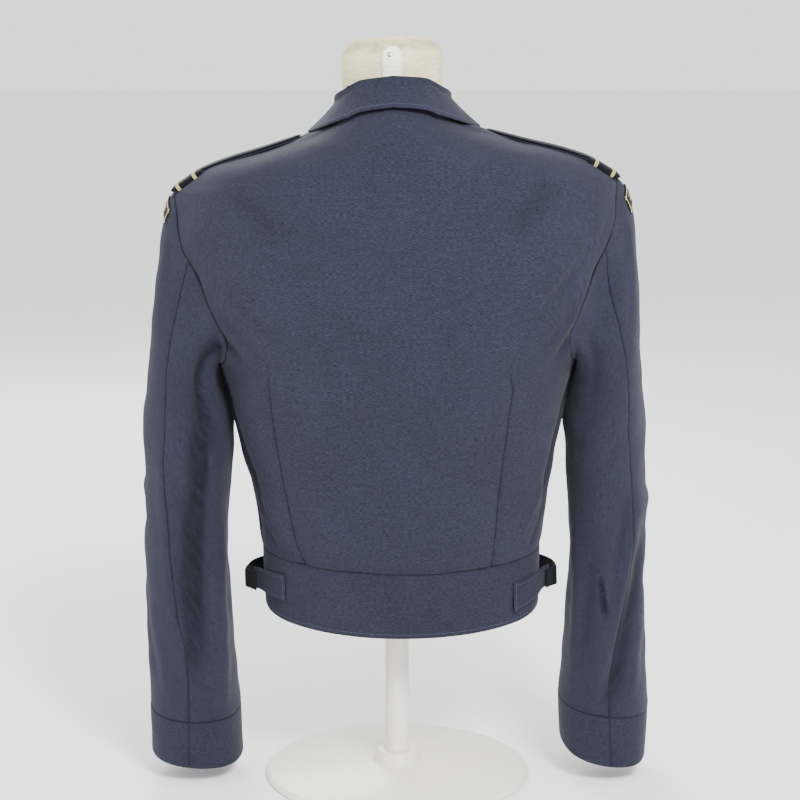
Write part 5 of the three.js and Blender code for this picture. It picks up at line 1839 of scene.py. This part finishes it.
@dataclass
class WaistAdjusters(Maker):
    """A tab behind, a frame buckle at the side and a strap from the front, on both sides.

    Attributes:
        height: Of the buckle.
        width: Of the buckle.
        wall: Of the buckle.
        bar: Width of its frame.
        cloth: Thickness of tab and strap.
    """

    height: float = 31.0
    width: float = 24.0
    wall: float = 2.6
    bar: float = 3.2
    cloth: float = 1.8

    def build(self) -> None:
        """Makes the adjusters of both sides."""
        for side in Side:
            sizes = ADJUSTERS[side]
            x, y = sizes.buckle[0], BUCKLE_Y
            under = -(self.wall / 2 + 0.9)
            tab = [self.on_band(a) for a in (sizes.tab_end, 34, 29, 24)]
            tab += [self.by_buckle(x, a, under - 0.9 - self.cloth) for a in (-10, -4, 2)]
            strap = [self.on_band(a) for a in (-34, -29)] + [(x - 5, y - 42), (x + 3, y - 26)]
            strap += [self.by_buckle(x, a, under) for a in (12, 4, -8)]
            name = f"side_tab_{side.word}"
            self.strip(name, side, tab, sizes.tab_low, sizes.tab_high, SERGE_SHADED, False)
            name = f"side_strap_{side.word}"
            self.strip(name, side, strap, sizes.strap_low, sizes.strap_high, DARK_CLOTH, True)
            self.buckle(side, sizes)

    def on_band(self, angle: float) -> Pair:
        """A place in plan just clear of the band."""
        z = np.array((HEM_Z + WAIST_Z) / 2)
        depth = SEAM_BODY.table["back" if angle > 0 else "front"](z)
        x, y = section(SEAM_BODY.table["side"](z), depth, SEAM_BODY.table["full"](z), np.array(angle))
        reach = 1 + (1.2 + self.cloth) / math.hypot(x, y)
        return float(x * reach), float(y * reach)

    def by_buckle(self, x: float, along: float, out: float) -> Pair:
        """A place in plan along the buckle at x and out from it."""
        dx, dy = BUCKLE_ALONG
        return x + dx * along - dy * out, BUCKLE_Y + dy * along + dx * out

    def strip(
        self,
        name: str,
        side: Side,
        places: Sequence[Pair],
        low: Pair,
        high: Pair,
        finish: ClothFinish,
        forward: bool,
    ) -> None:
        """Makes a tab or strap, with a row of stitches along both edges.

        Args:
            name: The solid's name.
            side: The wearer's side.
            places: The path in plan, for the left side.
            low: Heights of the lower edge at both ends of the path.
            high: Heights of the upper edge at both ends of the path.
            finish: Its cloth.
            forward: Whether the path starts at the front.
        """
        path = [(x * side.value, y) for x, y in places]
        if forward == (side is Side.LEFT):
            path, low, high = path[::-1], low[::-1], high[::-1]
        skin = PathSkin(path)
        gone = spaced(skin.length, STRIP_STEP, STRIP_FINE)[None] * skin.length
        share = gone / skin.length
        up = spaced(STRIP_WIDTH, STRIP_STEP, STRIP_FINE)[:, None]
        v = lerp(lerp(low[0], low[1], share), lerp(high[0], high[1], share), up)
        u = gone + 0 * up
        cloth = Cloth(f"{name}_cloth", skin, u, v, self.cloth, edges=ALL_FREE)
        cloth.relief = 0.35 * np.sin(u / 6.1 + v / 9.3)
        self.cut(cloth, finish, "laid", ["band_back"], name)
        if finish is SERGE_SHADED:
            rows = [border_line(cloth, border, 3, (0.03, 0.97)) for border in range(4)]
            self.sew(Thread(), f"{name}_stitches", rows)

    def buckle(self, side: Side, sizes: Adjuster) -> None:
        """Makes an open frame with a middle bar, rounded on its outer side.

        Args:
            side: The wearer's side.
            sizes: The adjuster's places.
        """
        name = f"side_buckle_{side.word}"
        w, h, bar = self.width / 2, self.height / 2, self.bar
        frame = block(f"{name}_frame", (self.width, self.height, self.wall), (0, 0, 0))
        round_corners(frame, 13.0, lambda x: x > 0)
        round_corners(frame, 7.0, lambda x: x < 0)
        for left, right, top in ((-w + bar, -bar / 2, h - bar - 2.5), (bar / 2, w - bar, h - bar - 3)):
            window = block("window", (right - left, 2 * top, 10), ((left + right) / 2, 0, 0))
            round_corners(window, 2.2, lambda x: True)
            cut_out(frame, window)
        apply_modifier(frame, "BEVEL", width=0.6 * MM, segments=3, limit_method="ANGLE")
        shade(frame)
        along = Vector((BUCKLE_ALONG[0] * side.value, BUCKLE_ALONG[1], 0))
        up = Vector((0, 0, 1))
        turned = Matrix((along, up, along.cross(up))).transposed().to_4x4()
        x, z = sizes.buckle
        x = x * side.value + float(SHIFT(np.array(z)))
        turned.translation = (x * MM, BUCKLE_Y * MM, z * MM)
        frame.data.transform(turned)
        self.dress(frame, ENAMEL, name)


def select_only(obj: Object) -> None:
    """Makes an object the only one selected, and the active one."""
    bpy.ops.object.select_all(action="DESELECT")
    obj.select_set(True)
    bpy.context.view_layer.objects.active = obj


def block(name: str, size: Triple, middle: Triple) -> Object:
    """A box from the cube primitive, sized in millimetres.

    Args:
        name: The object's name.
        size: Along each axis.
        middle: Its centre.

    Returns:
        The box.
    """
    bpy.ops.mesh.primitive_cube_add(size=1, location=[m * MM for m in middle])
    obj = bpy.context.object
    obj.name = obj.data.name = name
    obj.scale = [s * MM for s in size]
    bpy.ops.object.transform_apply(location=True, rotation=True, scale=True)
    return obj


def round_corners(obj: Object, radius: float, wanted: Callable[[float], bool]) -> None:
    """Rounds the upright corners of a box, chosen by their X.

    Args:
        obj: The box.
        radius: In millimetres.
        wanted: Whether a corner at this X is rounded.
    """
    select_only(obj)
    bpy.ops.object.mode_set(mode="EDIT")
    bpy.ops.mesh.select_mode(type="EDGE")
    bpy.ops.mesh.select_all(action="DESELECT")
    work = bmesh.from_edit_mesh(obj.data)
    for edge in work.edges:
        a, b = (vertex.co for vertex in edge.verts)
        edge.select = abs(a.z - b.z) > 1e-6 and abs(a.x - b.x) < 1e-7 and wanted(a.x)
    bmesh.update_edit_mesh(obj.data)
    bpy.ops.mesh.bevel(offset=radius * MM, segments=8)
    bpy.ops.object.mode_set(mode="OBJECT")


def apply_modifier(obj: Object, kind: str, **settings: object) -> None:
    """Adds a modifier, sets it and applies it.

    Args:
        obj: The object.
        kind: The modifier's type.
        settings: Its values.
    """
    select_only(obj)
    modifier = obj.modifiers.new(kind.lower(), kind)
    for name, value in settings.items():
        setattr(modifier, name, value)
    bpy.ops.object.modifier_apply(modifier=modifier.name)


def cut_out(obj: Object, tool: Object) -> None:
    """Cuts one object out of another and removes the tool."""
    apply_modifier(obj, "BOOLEAN", operation="DIFFERENCE", object=tool, solver="EXACT")
    bpy.data.objects.remove(tool)


def shade(obj: Object, degrees: float = 35) -> None:
    """Smooth shading that keeps sharp edges sharp."""
    select_only(obj)
    bpy.ops.object.shade_smooth_by_angle(angle=math.radians(degrees))


def seat(skin: Skin, u: float, v: float, lift: float) -> Matrix:
    """Takes a piece from the origin to a place above a skin, square to it.

    Args:
        skin: The skin.
        u: The place's first parameter.
        v: Its second.
        lift: Height over the skin in millimetres.

    Returns:
        The matrix in metres.
    """
    at = np.array([u]), np.array([float(v)])
    normal = Vector(skin.normal(*at)[0])
    turn = Vector((0, 0, 1)).rotation_difference(normal).to_matrix().to_4x4()
    return Matrix.Translation(Vector(skin.place(*at, lift)[0]) * MM) @ turn


def turned_piece(name: str, profile: Sequence[Pair], segments: int) -> Object:
    """A round piece, extruded ring by ring from a circle.

    Args:
        name: The object's name.
        profile: Radius and height of each ring from the bottom, in millimetres.
        segments: Sides of the rings.

    Returns:
        The new object, smooth shaded.
    """
    radius, z = profile[0]
    bpy.ops.mesh.primitive_circle_add(
        vertices=segments, radius=radius * MM, fill_type="NGON", location=(0, 0, z * MM)
    )
    obj = bpy.context.object
    obj.name = obj.data.name = name
    bpy.ops.object.transform_apply(location=True, rotation=True, scale=True)
    bpy.ops.object.mode_set(mode="EDIT")
    bpy.ops.mesh.select_all(action="SELECT")
    for wide, high in profile[1:]:
        bpy.ops.mesh.extrude_region_move(TRANSFORM_OT_translate={"value": (0, 0, (high - z) * MM)})
        grow = wide / radius
        bpy.ops.transform.resize(value=(grow, grow, 1), center_override=(0, 0, high * MM))
        radius, z = wide, high
    bpy.ops.mesh.select_all(action="SELECT")
    bpy.ops.mesh.normals_make_consistent(inside=False)
    bpy.ops.object.mode_set(mode="OBJECT")
    shade(obj)
    return obj


# Heights of the buttons, and the gap under each
FRONT_BUTTONS = (292, 370, 448, 526, 600)
BAND_BUTTON = 208
STRAP_BUTTON = 668
BUTTON_GAP = 0.3


@dataclass
class Buttons(Maker):
    """Four-hole buttons, sewn on with crossed threads.

    Attributes:
        radius: Of a button.
        wall: Its thickness.
    """

    radius: float = 9.0
    wall: float = 3.4

    def build(self) -> None:
        """Sets a button at each place."""
        templates = self.pattern(), self.thread()
        for number, z in enumerate(FRONT_BUTTONS, 1):
            place = seat(SEAM_BODY, -90, z, LAP_LIFT + BUTTON_GAP)
            self.set(templates, f"front_button_{number}", place)
        self.set(templates, "band_button", seat(SEAM_BODY, -90, BAND_BUTTON, BAND_LAP + BUTTON_GAP))
        for side in Side:
            place = seat(StrapSkin(side), 0, STRAP_BUTTON, STRAP_WALL + BUTTON_GAP)
            self.set(templates, f"strap_button_{side.word}", place)
        for template in templates:
            bpy.data.objects.remove(template)

    def pattern(self) -> Object:
        """The button lying at the origin, face up."""
        r, wall = self.radius, self.wall
        profile = [(r - 1.6, 0), (r - 0.5, 0.5), (r, wall * 0.45), (r - 0.2, wall * 0.75), (r - 1, wall)]
        profile += [(r - inward, wall - down) for inward, down in ((2, 0.1), (3, 0.7), (4, 0.9))]
        button = turned_piece("button_pattern", profile, 48)
        for x, y in ((1.6, 1.6), (-1.6, 1.6), (-1.6, -1.6), (1.6, -1.6)):
            bpy.ops.mesh.primitive_cylinder_add(
                vertices=12, radius=0.85 * MM, depth=9 * MM, location=(x * MM, y * MM, MM)
            )
            cut_out(button, bpy.context.object)
        shade(button)
        return button

    def thread(self) -> Object:
        """Two crossed stitches over the button's holes."""
        up = np.array([[0, 0, 1.0]] * 2)
        rows = []
        for x in (1, -1):
            for shift in (-0.25, 0.25):
                z = self.wall - 0.75
                line = np.array([[-1.7 * x + shift, -1.7, z], [1.7 * x + shift, 1.7, z]])
                rows.append((line, up))
        return Thread(4.6, 0.6, 0.5, 4.8).sew("thread_pattern", rows)

    def set(self, templates: tuple[Object, Object], name: str, place: Matrix) -> None:
        """Sets a copy of the button and its thread at a place.

        Args:
            templates: The button and its thread.
            name: The solid's name.
            place: Where it sits.
        """
        for template, word, finish in zip(templates, ("horn", "thread"), (HORN, SEWING)):
            mesh = template.data.copy()
            mesh.transform(place)
            obj = link(f"{name}_{word}", mesh)
            self.dress(obj, finish, *([name] if word == "horn" else []))


@dataclass
class DressForm(Maker):
    """The linen-covered form, its neck tape with a stud, and the stand."""

    def build(self) -> None:
        """Makes the form and what it stands on."""
        form = self.body()
        self.dress(form, LINEN, "dress_form")
        self.tape()
        post = turned_piece("post_painted", [(12.5, 26.3), (12.5, 195.7)], 48)
        self.dress(post, PAINT, "stand_post")
        profile = [(136, 0), (138.5, 0.6), (140, 2.5), (140, 4.5), (138.5, 6.5), (136, 8), (32, 12)]
        profile += [(26, 13.4), (24, 15.5), (22, 24), (20.5, 26), (12.7, 26)]
        self.dress(turned_piece("base_painted", profile, 128), PAINT, "stand_base")

    def body(self) -> Object:
        """The form as one closed skin, finely drawn, with sewn lines up its sides and back."""
        z = np.unique(np.concatenate([np.linspace(196, 700, 120), np.linspace(700, 777, 60)]))
        around = np.linspace(0, 360, 181)[:-1]
        u, v = np.meshgrid(around, z)
        points = FORM.point(u, v)
        crease = np.zeros(u.shape)
        # The sewn lines sink a little and get painted shade in their grooves.
        for seam in (0.0, 90.0, 180.0, 270.0):
            distance = np.abs(np.mod(u - seam + 180, 360) - 180) * np.radians(FORM.table["side"](v))
            crease = np.maximum(crease, 0.6 * bell(distance, 1.2))
        points = points - FORM.normal(u, v) * (0.4 * crease)[..., None]
        x, y = points[..., 0], points[..., 1]
        worn = 1 + 0.45 * np.sin(x / 7.3 + 1.1) * np.sin(y / 5.9 + x / 13)
        top = bell(v - 769, 6.5) * worn * smooth(v, 750, 762)
        patch = 0.3 * smooth(np.sin(x / 13 - v / 17 + 0.9) * np.sin(v / 11 + x / 29), 0.5, 1)
        crease = np.clip(np.maximum(crease, top + patch * smooth(v, 715, 730)), 0, 1)
        uv = np.stack([np.radians(u - 180) * 0.05, v * MM], axis=-1)
        rows, columns = u.shape
        index = np.arange(rows * columns).reshape(rows, columns)
        after = np.roll(index, -1, axis=1)
        quads = np.stack([index[:-1], after[:-1], after[1:], index[1:]], -1).reshape(-1, 4).tolist()
        faces = quads + [index[0, ::-1].tolist(), index[-1].tolist()]
        places = points.reshape(-1, 3) * MM
        obj = new_mesh("form_linen", places, faces, uv.reshape(-1, 2), crease.ravel())
        shade(obj, 50)
        return obj

    def tape(self) -> None:
        """Makes the tape down the neck's back, round at its top, with a stud."""
        low, high, half_width, neck = 716, 757, 9.5, 51
        round_end = high + 11 * np.sin(np.radians(np.linspace(8, 86, 12)))
        z = np.concatenate([np.linspace(low, high, 18), round_end])
        half = half_width * np.sqrt(np.clip(1 - (np.maximum(z - high, 0) / 11.6) ** 2, 0.02, 1))
        side = np.degrees(half / neck)[:, None]
        across = np.linspace(-1, 1, 12)[None]
        u, v = 90.4 + side * across, z[:, None] + 0 * across
        cloth = Cloth("neck_tape_cloth", FORM, u, v, 1.2, 1.7, edges=ALL_FREE)
        self.cut(cloth, TAPE, "laid", ["dress_form"], "form_neck_tape")
        rows = [border_line(cloth, border, 1.8, (0, 0.95)) for border in (2, 3)]
        self.sew(Thread(1.8, 0.5, 0.3, 2.4), "tape_stitches", rows, STUD)
        stud = turned_piece("tape_stud", [(2.6, 0), (2.6, 0.5), (2.1, 1.1), (1.2, 1.3), (0.9, 0.8)], 32)
        stud.data.transform(seat(FORM, 88, 760, 1.6))
        self.dress(stud, STUD)


@dataclass
class Studio:
    """The camera, the floor and the soft lights.

    Attributes:
        distance: From the camera to what it looks at.
        rise: The camera's elevation in degrees.
        lens: Its focal length on a 36 mm sensor.
        target: What it looks at, in millimetres.
        backdrop: Strength of the world's even light.
        floor_grey: Linear grey of the floor.
        lights: Name, place in metres, diameter in metres and power in watts of each light.
    """

    distance: float = 2200.0
    rise: float = 10.0
    lens: float = 95.175
    target: Triple = (-3.1, 0.0, 405.0)
    backdrop: float = 1.65
    floor_grey: float = 0.88
    lights: tuple[tuple[str, Triple, float, float], ...] = (
        ("key", (-0.8, 2.1, 2.1), 0.8, 140),
        ("fill", (2.2, 0.2, 0.6), 1.0, 20),
        ("behind", (0.7, -2.2, 1.9), 1.4, 62),
    )

    def build(self) -> None:
        """Makes the camera, the lights, the world and the floor."""
        data = bpy.data.cameras.new("camera")
        data.lens, data.sensor_width = self.lens, 36
        data.clip_start, data.clip_end = 0.05, 100
        camera = link("camera", data)
        rise = math.radians(self.rise)
        target = Vector(self.target) * MM
        camera.location = target + Vector((0, math.cos(rise), math.sin(rise))) * self.distance * MM
        camera.rotation_euler = (target - camera.location).to_track_quat("-Z", "Y").to_euler()
        bpy.context.scene.camera = camera
        for name, place, size, power in self.lights:
            lamp = bpy.data.lights.new(name, "AREA")
            lamp.shape, lamp.size, lamp.energy = "DISK", size, power
            obj = link(name, lamp)
            obj.location = place
            aim = Vector((0, 0, 0.4)) - obj.location
            obj.rotation_euler = aim.to_track_quat("-Z", "Y").to_euler()
        world = bpy.data.worlds.new("studio")
        world.use_nodes = True
        sky = world.node_tree.nodes["Background"].inputs
        sky["Color"].default_value = (0.97, 0.98, 1.0, 1)
        sky["Strength"].default_value = self.backdrop
        bpy.context.scene.world = world
        bpy.ops.mesh.primitive_circle_add(vertices=96, radius=25, fill_type="NGON", location=(0, 0, 0))
        floor = bpy.context.object
        floor.name = floor.data.name = "floor"
        material, shader = blank_material("floor")
        shader.inputs["Base Color"].default_value = (*(self.floor_grey,) * 3, 1)
        shader.inputs["Roughness"].default_value = 0.9
        floor.data.materials.append(material)


def main() -> None:
    """Builds the dressed figure and its studio round the frame."""
    logging.basicConfig(level=logging.INFO, format="%(name)s: %(message)s")
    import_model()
    materials: dict[str, bpy.types.Material] = {}
    for maker in (BodyPanels, Sleeves, Collar, ShoulderStraps, WaistAdjusters, Buttons, DressForm):
        maker(materials).build()
    Studio().build()


if __name__ == "__main__":
    main()
